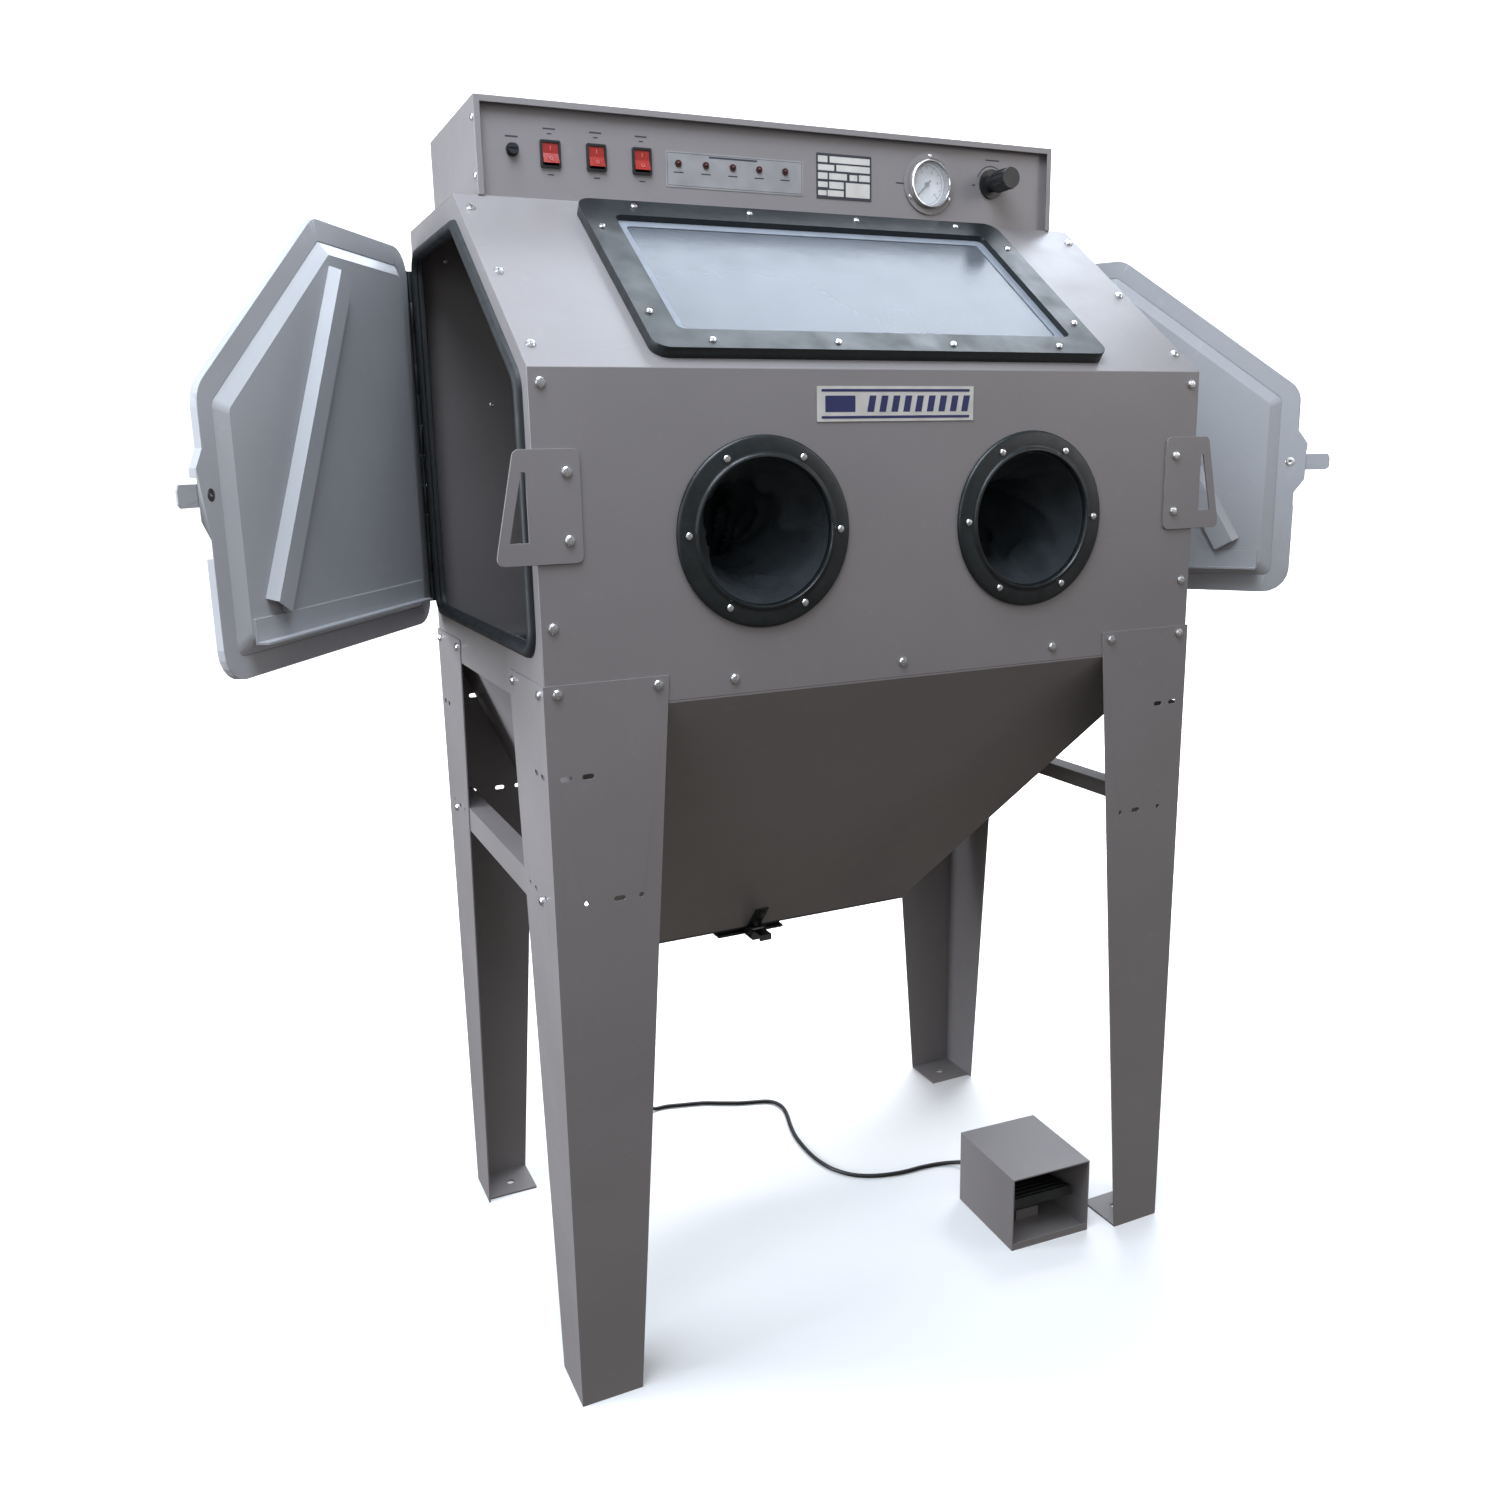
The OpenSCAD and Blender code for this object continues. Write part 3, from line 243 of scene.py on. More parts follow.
GREY = (0.222, 0.206, 0.208)
# The door colour below is the body paint made paler: painted light for the doors' brighter
# lighting.
PAINTED_LIGHT_PALE = (0.42, 0.425, 0.445)
M = {
    "body_enamel": enamel("body_enamel", GREY),
    "sheet_enamel": enamel("sheet_enamel", PAINTED_LIGHT_PALE, 0.34),
    "black_enamel": black_enamel("black_enamel", (0.012, 0.014, 0.015)),
    "zinc": metal("zinc", (0.78, 0.79, 0.80), 0.22),
    "chrome_trim": metal("chrome_trim", (0.85, 0.86, 0.87), 0.10),
    "black_rubber": rubber("black_rubber", (0.010, 0.012, 0.014)),
    "black_plastic": plastic("black_plastic", (0.014, 0.015, 0.016)),
    "red_plastic": plastic("red_plastic", (0.30, 0.024, 0.018), 0.14),
    "white_plastic": plastic("white_plastic", (0.80, 0.80, 0.78), 0.25),
    "label_stock": plastic("label_stock", (0.27, 0.265, 0.27), 0.40),
    "window_glass": clear("window_glass", (0.108, 0.120, 0.141), 0.14, 0.82),
    "lens_clear": clear("lens_clear", (0.90, 0.93, 0.95), 0.03, 0.18),
    "brass_fitting": metal("brass_fitting", (0.72, 0.58, 0.30), 0.28),
    "cast_alloy": metal("cast_alloy", (0.62, 0.63, 0.64), 0.42),
    "filter_paper": plastic("filter_paper", (0.70, 0.66, 0.56), 0.8, 300, 0.0002),
    "cable_sheath": rubber("cable_sheath", (0.010, 0.010, 0.011), 0.42),
    "glove_cloth": cloth("glove_cloth", (0.017, 0.021, 0.024), 0.8),
    "frame_rubber": rubber("frame_rubber", (0.007, 0.010, 0.011), 0.36),
    "ink": plastic("ink", (0.03, 0.032, 0.045), 0.5),
    "blue_ink": plastic("blue_ink", (0.018, 0.022, 0.10), 0.45),
    "off_white": plastic("off_white", (0.56, 0.54, 0.51), 0.5),
    "dial_white": plastic("dial_white", (0.72, 0.73, 0.75), 0.4),
    "ceramic": plastic("ceramic", (0.78, 0.75, 0.66), 0.45),
    "seal_pale": plastic("seal_pale", (0.20, 0.22, 0.255), 0.5),
    "rocker_mark": plastic("rocker_mark", (0.50, 0.12, 0.10), 0.3),
    "lamp_lens": plastic("lamp_lens", (0.05, 0.012, 0.010), 0.10),
    "dark_zinc": metal("dark_zinc", (0.16, 0.16, 0.17), 0.34),
    # The grate's zinc below is galvanised metal, kept pale partly as painted light from the window
    # falling on the cabinet floor.
    "window_lit_zinc": metal("window_lit_zinc", (0.62, 0.63, 0.66), 0.38),
}

slot_of = {s["node"]: s["material_slot"] for s in frame["record"]["subparts"]}
for name, obj in NODES.items():
    material = M[slot_of[name]]
    if not obj.data.materials:
        obj.data.materials.append(material)
    for s in obj.material_slots:
        s.material = material


def door_trim(name):
    """The doors' paint, a paler copy of the body paint as painted light for the doors' brighter
    lighting, with the knuckles of the long hinge painted black as painted shade along the hinge
    edge.
    """
    n = Nodes(name, PAINTED_LIGHT_PALE, 0.36)
    parts = n.add("ShaderNodeSeparateXYZ")
    n.link(n.place, parts.inputs["Vector"])
    across = n.add("ShaderNodeMath", operation="ABSOLUTE")
    n.link(parts.outputs["X"], across.inputs[0])
    flat = n.add("ShaderNodeCombineXYZ")
    n.link(across.outputs["Value"], flat.inputs["X"])
    n.link(parts.outputs["Y"], flat.inputs["Y"])
    away = n.add("ShaderNodeVectorMath", operation="DISTANCE")
    n.link(flat.outputs["Vector"], away.inputs[0])
    away.inputs[1].default_value = (0.468, 0.272, 0)             # the hinge's axis
    # Within about 10 mm of the hinge axis the paint turns black: painted shade along the hinge
    # edge.
    painted_hinge_shade = n.span(away.outputs["Value"], 0, 1, 0.0100, 0.0110)
    # The pale base is painted light; the slow cloud only varies the tone at random.
    dust = n.ramp(n.noise(3.1, 4, 0.6), shade(PAINTED_LIGHT_PALE, 0.94), shade(PAINTED_LIGHT_PALE, 1.05))
    n.colour(n.mix(painted_hinge_shade, (0.012, 0.013, 0.014), dust))
    n.gloss(n.span(n.noise(9, 4, 0.65), 0.30, 0.46))
    n.bump(n.noise(620, 2, 0.5), 0.00006, 0.6)
    return n.mat


M["door_trim"] = door_trim("door_trim")
LOOKS = {                                    # nodes that look other than their slot says
    "window_frame": "frame_rubber", "trap_latch": "dark_zinc", "gauge_case": "body_enamel",
    "indicator_lamps": "lamp_lens", "work_grate": "window_lit_zinc",
    "left_door_fittings": "door_trim", "right_door_fittings": "door_trim",
}
for name in ("back_panel", "left_side_panel", "right_side_panel", "hopper_rear", "hopper_left",
             "hopper_right", "side_braces", "control_box_shell", "catch_plates",
             "pedal_housing"):
    LOOKS[name] = "body_enamel"              # one paint on all but the doors, whose paler copy of it is painted light
for name, look in LOOKS.items():
    for s in NODES[name].material_slots:
        s.material = M[look]

ROUNDED = {
    "window_frame": 0.0022, "catch_plates": 0.0006, "work_grate": 0.0006,
    "control_box_shell": 0.0008, "pedal_housing": 0.0008, "left_door_latch": 0.0005,
    "right_door_latch": 0.0005, "trap_door": 0.0006, "switch_bezels": 0.0007,
    "pedal_plate": 0.0007, "gun_hook": 0.0005, "lamp_housing": 0.0010,
    "front_top_panel": 0.0009, "left_door": 0.0007, "right_door": 0.0007,
    "front_left_leg": 0.0007, "front_right_leg": 0.0007, "rear_left_leg": 0.0007,
    "rear_right_leg": 0.0007, "regulator_knob": 0.0008, "fuse_cap": 0.0005,
    "gauge_case": 0.0005, "left_door_fittings": 0.0005, "right_door_fittings": 0.0005,
}
for name, width in ROUNDED.items():
    weld = NODES[name].modifiers.new("weld", "WELD")
    weld.merge_threshold = 0.00001
    edge = NODES[name].modifiers.new("edge", "BEVEL")
    edge.width = width
    edge.segments = 2
    edge.limit_method = "ANGLE"
    edge.angle_limit = math.radians(40)
    edge.harden_normals = True


# ------------------------------------------------------------------ pieces


def piece(name, verts, faces, material, body="cabinet", place=None, smooth=40):
    """A mesh that rides on a CAD body. smooth is the angle, in degrees, that stays soft."""
    mesh = bpy.data.meshes.new(name)
    mesh.from_pydata([tuple(v) for v in verts], [], faces)
    bm = bmesh.new()
    bm.from_mesh(mesh)
    bmesh.ops.recalc_face_normals(bm, faces=bm.faces)
    for edge in bm.edges:
        sharp = len(edge.link_faces) != 2 or edge.calc_face_angle(0) > math.radians(smooth)
        edge.smooth = not sharp
    for face in bm.faces:
        face.smooth = True
    bm.to_mesh(mesh)
    bm.free()
    if place is not None:
        mesh.transform(place)
    mesh.materials.append(M[material])
    obj = bpy.data.objects.new(name, mesh)
    scene.collection.objects.link(obj)
    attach(obj, body)
    return obj


def join_shapes(shapes):
    """Several (verts, faces) as one."""
    verts, faces = [], []
    for v, f in shapes:
        base = len(verts)
        verts += [Vector(p) for p in v]
        faces += [[base + i for i in face] for face in f]
    return verts, faces


def moved(shape, matrix):
    return [matrix @ Vector(v) for v in shape[0]], shape[1]


def lathe(profile, sides=64, closed=False):
    """Turns (r, z) points about z."""
    verts, faces = [], []
    n = len(profile)
    for i in range(sides):
        a = 2 * math.pi * i / sides
        verts += [Vector((r * math.cos(a), r * math.sin(a), z)) for r, z in profile]
    last = n if closed else n - 1
    for i in range(sides):
        j = (i + 1) % sides
        for k in range(last):
            m = (k + 1) % n
            faces.append([i * n + k, j * n + k, j * n + m, i * n + m])
    return verts, faces


def slab(outline, z0, z1, inset=0.0):
    """A flat outline as a plate, its upper edge drawn in by inset."""
    n = len(outline)
    middle = sum((Vector((x, y)) for x, y in outline), Vector((0, 0))) / n
    top = []
    for x, y in outline:
        d = Vector((x, y)) - middle
        d = d * (1 - inset / max(d.length, 1e-9))
        top.append(Vector((middle.x + d.x, middle.y + d.y, z1)))
    low = [Vector((x, y, z0)) for x, y in outline]
    mid = [Vector((x, y, z1 - inset)) for x, y in outline]
    faces = [list(range(n))[::-1]]
    for i in range(n):
        j = (i + 1) % n
        faces += [[i, j, n + j, n + i], [n + i, n + j, 2 * n + j, 2 * n + i]]
    faces.append([2 * n + i for i in range(n)])
    return low + mid + top, faces


def rounded(w, h, r, steps=5):
    """A rectangle with round corners, about the origin."""
    points = []
    for cx, cy, a in ((1, 1, 0), (-1, 1, 90), (-1, -1, 180), (1, -1, 270)):
        for i in range(steps + 1):
            t = math.radians(a + 90 * i / steps)
            points.append((cx * (w / 2 - r) + r * math.cos(t), cy * (h / 2 - r) + r * math.sin(t)))
    return points


def swept(path, profile):
    """Runs a closed (u, v) profile round a closed planar path. Path entries are (point, u, v)."""
    verts, faces = [], []
    n = len(profile)
    for point, u, v in path:
        verts += [point + u * a + v * b for a, b in profile]
    count = len(path)
    for i in range(count):
        j = (i + 1) % count
        for k in range(n):
            m = (k + 1) % n
            faces.append([i * n + k, j * n + k, j * n + m, i * n + m])
    return verts, faces


# ------------------------------------------------------------------ places on the cabinet

PANEL_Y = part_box("switch_bezels")[0].y + 0.0035      # face of the control panel


def on_panel(x, z, out=0.0):
    """Local x along the panel, local y up, local z towards the user."""
    return Matrix(((1, 0, 0, x), (0, 0, -1, PANEL_Y - out), (0, 1, 0, z), (0, 0, 0, 1)))


FRONT_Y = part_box("front_top_panel")[0].y
BEND_Z = 1.256                                       # where the front folds back
SLOPE_RISE, SLOPE_RUN = 0.221, 0.289
SLOPE = math.atan2(SLOPE_RISE, SLOPE_RUN)
DOOR_REST = math.radians(35)
HINGE = Vector((0.468, 0.272, 0))                    # axis of the right door's hinge


def on_slope(x, s, out=0.0):
    """Local x along the width, local y up the slope, local z outwards."""
    c, k = math.cos(SLOPE), math.sin(SLOPE)
    return Matrix(((1, 0, 0, x), (0, c, -k, FRONT_Y + s * c - out * k),
                   (0, k, c, BEND_Z + s * k + out * c), (0, 0, 0, 1)))


def on_front(x, z, out=0.0):
    return Matrix(((1, 0, 0, x), (0, 0, -1, FRONT_Y - out), (0, 1, 0, z), (0, 0, 0, 1)))


# ------------------------------------------------------------------ the pedal's cable

ROUTE = [(-160, 301, 940), (-160, 316, 938), (-160, 332, 928), (-160, 342, 908),
         (-160, 345, 860), (-159, 345, 760), (-158, 344, 640), (-157, 343, 520),
         (-156, 343, 400), (-155, 343, 280), (-155, 344, 160), (-154, 345, 80), (-150, 347, 40),
         (-140, 351, 15), (-122, 355, 5), (-100, 355, 4), (-75, 348, 4), (-35, 336, 4),
         (-6, 321, 4), (24, 306, 4), (50, 297, 4), (72, 289, 4), (84, 276, 4), (88, 255, 4),
         (83, 228, 4), (72, 192, 4), (64, 156, 4), (61, 118, 4), (62, 82, 4), (68, 52, 4),
         (78, 30, 4), (94, 10, 4), (117, -5, 4), (146, -15, 4), (175, -20, 4), (205, -21, 4),
         (234, -25, 4), (258, -35, 6), (273, -53, 12), (279, -74, 19)]
TURN = math.radians(-3)
PEDAL = Matrix.Translation((0.207, -0.265, 0)) @ Matrix.Rotation(TURN, 4, "Z")
ROUTE = [Vector(p) / 1000 for p in ROUTE] + [PEDAL @ Vector((0.067, 0.164, 0.022))]


def curve_point(p, i, t):
    a, b = p[max(i - 1, 0)], p[i]
    c, d = p[i + 1], p[min(i + 2, len(p) - 1)]
    return 0.5 * (2 * b + (c - a) * t + (2 * a - 5 * b + 4 * c - d) * t * t
                  + (3 * b - a - 3 * c + d) * t ** 3)


line = [curve_point(ROUTE, i, t / 6) for i in range(len(ROUTE) - 1) for t in range(6)]
line.append(ROUTE[-1])
curve = bpy.data.curves.new("pedal_cable", "CURVE")
curve.dimensions = "3D"
spline = curve.splines.new("POLY")
spline.points.add(len(line) - 1)
for point, place in zip(spline.points, line):
    point.co = (*place, 1)
spline.use_smooth = True
curve.bevel_depth = 0.00325
curve.bevel_resolution = 4
curve.use_fill_caps = True
cable = bpy.data.objects.new("pedal_cable", curve)
scene.collection.objects.link(cable)
curve.materials.append(M["cable_sheath"])
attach(cable, "cabinet")
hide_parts("pedal_cord")


def relief(name, place, base_r, tip_r, length):
    """A ribbed, tapered strain relief along local z."""
    profile = [(0.0033, 0.0002), (base_r, 0.0), (base_r, 0.0035), (base_r * 0.8, 0.0042)]
    ribs = 5
    for i in range(ribs):
        a = 0.0045 + (length - 0.0055) * i / ribs
        b = 0.0045 + (length - 0.0055) * (i + 0.6) / ribs
        r = base_r * 0.8 + (tip_r - base_r * 0.8) * i / ribs
        profile += [(r, a), (r, b), (r - 0.0008, b + 0.0003), (r - 0.0008, b + 0.0009)]
    profile += [(tip_r, length - 0.0008), (tip_r - 0.0004, length), (0.0033, length)]
    v, f = lathe(profile, 32)
    return piece(name, v, f, "black_rubber", place=place)


gland_place = Matrix.Translation((-0.160, 0.283, 0.940)) @ Matrix.Rotation(-math.pi / 2, 4, "X")
gland = relief("wall_gland", gland_place, 0.0095, 0.005, 0.018)
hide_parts("cord_glands")
relief("pedal_strain_relief", PEDAL @ Matrix.Translation((0.067, 0.146, 0.022))
       @ Matrix.Rotation(-math.pi / 2, 4, "X"), 0.0078, 0.0046, 0.018)


# ------------------------------------------------------------------ gloves and their rings

PORT_X, PORT_Z = 0.188, 1.073


def glove(side):
    """A limp rubberised sleeve in broad folds that narrows to a hand, following the CAD solid."""
    sections = []
    for i in range(57):
        s = i / 56
        if s < 0.58:                       # sleeve, straight in from the port
            t = s / 0.58
            centre = Vector((0, FRONT_Y - 0.002 + 0.190 * t, 0))
            radius = 0.054 + 0.0285 * (1 - t) ** 1.8
        else:                              # forearm and hand, bending down
            t = (s - 0.58) / 0.42
            centre = Vector((0, FRONT_Y + 0.188 + 0.085 * t, -0.100 * t * (0.55 + 0.45 * t)))
            radius = 0.054 - 0.013 * t
            if t > 0.86:
                radius *= math.sqrt(max(0.02, 1 - ((t - 0.86) / 0.14) ** 2))
        sections.append((s, centre, radius))
    verts, faces, sides = [], [], 72
    for i, (s, centre, radius) in enumerate(sections):
        ahead = sections[min(i + 1, 56)][1] - sections[max(i - 1, 0)][1]
        ahead.normalize()
        u = Vector((1, 0, 0))
        v = ahead.cross(u).normalized()
        grip = min(1.0, max(0.0, (s - 0.02) * 7)) * min(1.0, radius / 0.03)
        for k in range(sides):
            a = 2 * math.pi * k / sides
            d = u * math.cos(a) + v * math.sin(a)
            lean = a + side * 2.4 * s      # the folds wind slowly round the sleeve
            around = Vector((math.cos(lean), math.sin(lean), 0))
            broad = noise.noise(around * 1.15 + Vector((side * 3.1, 0, s * 3.2)))
            ridge = 1 - abs(noise.noise(around * 1.6 + Vector((4, side * 2.3, s * 4.4)))) * 2.4
            small = noise.noise(around * 5 + Vector((0, 9, s * 17 + side)))
            hollow = 0.014 * max(0, 0.35 - broad) + 0.009 * max(0, ridge) ** 2 + 0.0010 * small
            verts.append(centre + d * (radius - grip * max(0, hollow)))
    for i in range(56):
        for k in range(sides):
            m = (k + 1) % sides
            faces.append([i * sides + k, i * sides + m, (i + 1) * sides + m, (i + 1) * sides + k])
    faces.append([56 * sides + k for k in range(sides)])
    name = "left" if side < 0 else "right"
    obj = piece(name + "_sleeve", verts, faces, "glove_cloth",
                place=Matrix.Translation((side * PORT_X, 0, PORT_Z)), smooth=75)
    thick = obj.modifiers.new("thickness", "SOLIDIFY")
    thick.thickness = 0.0012
    thick.offset = 1
    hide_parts(name + "_glove")
    return obj


for side in (-1, 1):
    glove(side)
    ring = [(0.0840, 0.0), (0.1103, 0.0), (0.1105, 0.0012), (0.1098, 0.0036), (0.1082, 0.0048),
            (0.1060, 0.0054), (0.0925, 0.0060), (0.0905, 0.0060), (0.0893, 0.0066),
            (0.0885, 0.0080), (0.0872, 0.0088), (0.0856, 0.0086), (0.0845, 0.0072),
            (0.0840, 0.0050)]
    v, f = lathe(ring, 128, closed=True)
    obj = piece(("left" if side < 0 else "right") + "_port_ring", v, f, "frame_rubber",
                place=on_front(side * PORT_X, PORT_Z))
    if side < 0:
        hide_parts("glove_rings")


# ------------------------------------------------------------------ door seals

def seal_outline(d):
    """The seal's five-sided outline in (y, z), drawn in by d, with its corners rounded."""
    a, half, low, high, shoulder = SLOPE, 0.262, 0.942, 1.447, 1.247
    crest = -half + (high - shoulder) / math.tan(a)
    corners = [(-half + d, low + d), (-half + d, shoulder - d * (1 - math.sin(a)) / math.cos(a)),
               (crest + d * (1 - math.cos(a)) / math.sin(a), high - d), (half - d, high - d),
               (half - d, low + d)]
    corners = [Vector(c) for c in corners]
    r, steps, out = 0.034 - d, 8, []
    for i, b in enumerate(corners):
        u = (corners[i - 1] - b).normalized()
        v = (corners[(i + 1) % 5] - b).normalized()
        half_angle = u.angle(v) / 2
        centre = b + (u + v).normalized() * r / math.sin(half_angle)
        p, q = b + u * r / math.tan(half_angle) - centre, b + v * r / math.tan(half_angle) - centre
        turn = p.angle_signed(q)
        for k in range(steps + 1):
            t = -turn * k / steps
            out.append(centre + Vector((p.x * math.cos(t) - p.y * math.sin(t),
                                        p.x * math.sin(t) + p.y * math.cos(t))))
    return out


bulb = [(0.0005, 0.0), (-0.0130, 0.0), (-0.0138, 0.0022), (-0.0128, 0.0036), (-0.0120, 0.0060),
        (-0.0095, 0.0078), (-0.0062, 0.0080), (-0.0032, 0.0072), (-0.0014, 0.0052),
        (-0.0002, 0.0034), (0.0, 0.0016)]
for side in (-1, 1):
    outer = seal_outline(0.0)
    n = len(outer)
    path = []
    for i, p in enumerate(outer):
        along = outer[(i + 1) % n] - outer[i - 1]
        normal = Vector((along.y, -along.x)).normalized()
        if normal.dot(p - Vector((0.02, 1.19))) < 0:
            normal = -normal
        path.append((Vector((side * 0.460, p.x, p.y)), Vector((0, normal.x, normal.y)),
                     Vector((side, 0, 0))))
    v, f = swept(path, bulb)
    name = "left" if side < 0 else "right"
    seal = piece(name + "_seal", v, f, "black_rubber", smooth=50)
    channel = [(-0.0082, -0.0050), (-0.0082, 0.0006), (-0.0130, 0.0006), (-0.0140, -0.0004),
               (-0.0140, -0.0060), (-0.0125, -0.0068), (-0.0095, -0.0065)]
    v, f = swept(path, channel)
    piece(name + "_seal_channel", v, f, "black_rubber", smooth=50)
    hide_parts(name + "_door_gasket")


# ------------------------------------------------------------------ window

v, f = [], []
outer, inner = rounded(0.549, 0.255, 0.011), rounded(0.521, 0.227, 0.006)
n = len(outer)
for z, loop in ((0.0052, outer), (0.0062, outer), (0.0062, inner), (0.0052, inner)):
    v += [Vector((x, y, z)) for x, y in loop]
for a in range(4):
    b = (a + 1) % 4
    f += [[a * n + i, a * n + (i + 1) % n, b * n + (i + 1) % n, b * n + i] for i in range(n)]
SLOPE_MID = math.hypot(SLOPE_RISE, SLOPE_RUN) / 2
piece("window_seal", v, f, "seal_pale", place=on_slope(0, SLOPE_MID))


# ------------------------------------------------------------------ control panel

def bar(x0, x1, z0, z1, y=0.0, t=0.0004, r=0.0004):
    w, h = abs(x1 - x0), abs(z1 - z0)
    return moved(slab(rounded(w, h, min(r, w / 2.1, h / 2.1), 2), 0, t),
                 on_panel((x0 + x1) / 2, (z0 + z1) / 2, y))


def flat_ring(r0, r1, t, sides=32):
    return lathe([(r0, 0), (r1, 0), (r1, t), (r0, t)], sides, closed=True)


print_shapes = []
for x, top in ((-0.381, 1.5475), (-0.333, 1.5595), (-0.273, 1.5595), (-0.212, 1.5595)):
    print_shapes.append(bar(x - 0.008, x + 0.008, top, top + 0.0018, t=0.0002))
    if x > -0.35:
        print_shapes.append(bar(x - 0.003, x + 0.003, top - 0.0055, top - 0.004, t=0.0002))
        print_shapes.append(bar(x - 0.004, x + 0.004, 1.5065, 1.5080, t=0.0002))
for x0, x1, z in ((0.168, 0.186, 1.5285), (0.296, 0.301, 1.5335), (0.318, 0.342, 1.5685)):
    print_shapes.append(bar(x0, x1, z, z + 0.0018, t=0.0002))
arc = []
for k in range(25):
    a = math.radians(20 + 140 * k / 24)
    arc += [Vector((0.0235 * math.cos(a), 0.0235 * math.sin(a), 0.0002)),
            Vector((0.0250 * math.cos(a), 0.0250 * math.sin(a), 0.0002))]
arc_faces = [[2 * k, 2 * k + 1, 2 * k + 3, 2 * k + 2] for k in range(24)]
tip = [Vector((r * math.cos(math.radians(a)), r * math.sin(math.radians(a)), 0.0002))
       for r, a in ((0.0215, 20), (0.0270, 20), (0.0245, 6))]
KNOB = (0.328, 1.537)
print_shapes.append(moved((arc, arc_faces), on_panel(*KNOB)))
print_shapes.append(moved((tip, [[0, 1, 2]]), on_panel(*KNOB)))
v, f = join_shapes(print_shapes)
piece("panel_print", v, f, "ink")

# Indicator field: a fine printed border, a heading bar and one bar under each lamp.
LAMPS = [-0.1615 + 0.0387 * i for i in range(5)]
out = 0.0006
field = [bar(*sides, out, 0.0001) for sides in (
    (-0.177, 0.019, 1.5445, 1.5450), (-0.177, 0.019, 1.5050, 1.5055),
    (-0.177, -0.1765, 1.5050, 1.5450), (0.0185, 0.019, 1.5050, 1.5450),
    (-0.118, -0.048, 1.5412, 1.5434))]
field += [bar(x - 0.007, x + 0.007, 1.5205, 1.5220, out, 0.0001) for x in LAMPS]
v, f = join_shapes(field)
piece("indicator_print", v, f, "ink")
NODES["label_plates"].material_slots[0].material = M["label_stock"]

# Nameplate: empty white fields on black.
white = []
x0, x1, z0, z1 = 0.041, 0.1275, 1.502, 1.560
w, h = x1 - x0, z1 - z0
fields = ((0.03, 0.80, 0.20, 0.94), (0.24, 0.80, 0.97, 0.94), (0.03, 0.62, 0.32, 0.75),
          (0.36, 0.62, 0.97, 0.76), (0.03, 0.43, 0.20, 0.57), (0.23, 0.43, 0.55, 0.57),
          (0.60, 0.43, 0.74, 0.56), (0.77, 0.43, 0.97, 0.57), (0.03, 0.25, 0.20, 0.37),
          (0.23, 0.23, 0.49, 0.38), (0.03, 0.07, 0.18, 0.18), (0.20, 0.06, 0.49, 0.19),
          (0.53, 0.06, 0.97, 0.38))
for a, b, c, d in fields:
    white.append(bar(x0 + a * w, x0 + c * w, z0 + b * h, z0 + d * h, 0.0008, 0.0002))
v, f = join_shapes(white)
piece("nameplate_fields", v, f, "off_white")
v, f = slab(rounded(w, h, 0.001, 2), 0, 0.0007)
piece("nameplate_ground", v, f, "ink",
      place=on_panel((x0 + x1) / 2, (z0 + z1) / 2, 0.00015))

# Badge on the front: a plain plate with blue bands instead of any name.
badge = []
for x0, x1, z0, z1 in ((-0.113, 0.092, 1.2305, 1.2335), (-0.113, 0.092, 1.2000, 1.2030),
                       (-0.108, -0.068, 1.2075, 1.2260)):
    badge.append(moved(slab(rounded(x1 - x0, z1 - z0, 0.001, 2), 0, 0.0003),
                       on_front((x0 + x1) / 2, (z0 + z1) / 2, 0.001)))
for i in range(9):
    x = -0.052 + i * 0.0165
    badge.append(moved(slab([(0, 0), (0.009, 0), (0.0125, 0.0185), (0.0035, 0.0185)], 0, 0.0003),
                       on_front(x, 1.2075, 0.001)))
v, f = join_shapes(badge)
piece("badge_bands", v, f, "blue_ink")
v, f = slab(rounded(0.2165, 0.040, 0.001, 2), 0, 0.00099)
piece("badge_plate", v, f, "off_white",
      place=on_front(-0.0105, 1.21675, 0.00005))

# Rockers: upright ribs on each red cap, with a line in the upper half and a ring in the lower.
TILT = math.radians(-12)
for name, body, x in (("power", "power_switch", -0.333), ("light", "light_switch", -0.273),
                      ("dust", "dust_switch", -0.212)):
    tilt = on_panel(x, 1.531) @ Matrix.Rotation(TILT, 4, "X")
    parts, marks = [], []
    upper, lower = (Matrix.Rotation(math.radians(a), 4, "X") for a in (10.2, -10.2))
    for k in range(5):
        off = -0.0072 + 0.0036 * k
        for sign, half in ((-1, lower), (1, upper)):
            parts.append(moved(slab(rounded(0.0010, 0.0085, 0.0004, 2), 0, 0.0004),
                               tilt @ Matrix.Translation((off, sign * 0.0062, 0.00345)) @ half))
    v, f = join_shapes(parts)
    piece(name + "_cap_ribs", v, f, "red_plastic", body)
    marks.append(moved(slab(rounded(0.0011, 0.0052, 0.0004, 2), 0, 0.0003),
                       tilt @ Matrix.Translation((0, 0.0064, 0.0040)) @ upper))
    marks.append(moved(flat_ring(0.0016, 0.0024, 0.0003, 24),
                       tilt @ Matrix.Translation((0, -0.0066, 0.0040)) @ lower))
    v, f = join_shapes(marks)
    piece(name + "_cap_marks", v, f, "rocker_mark", body)

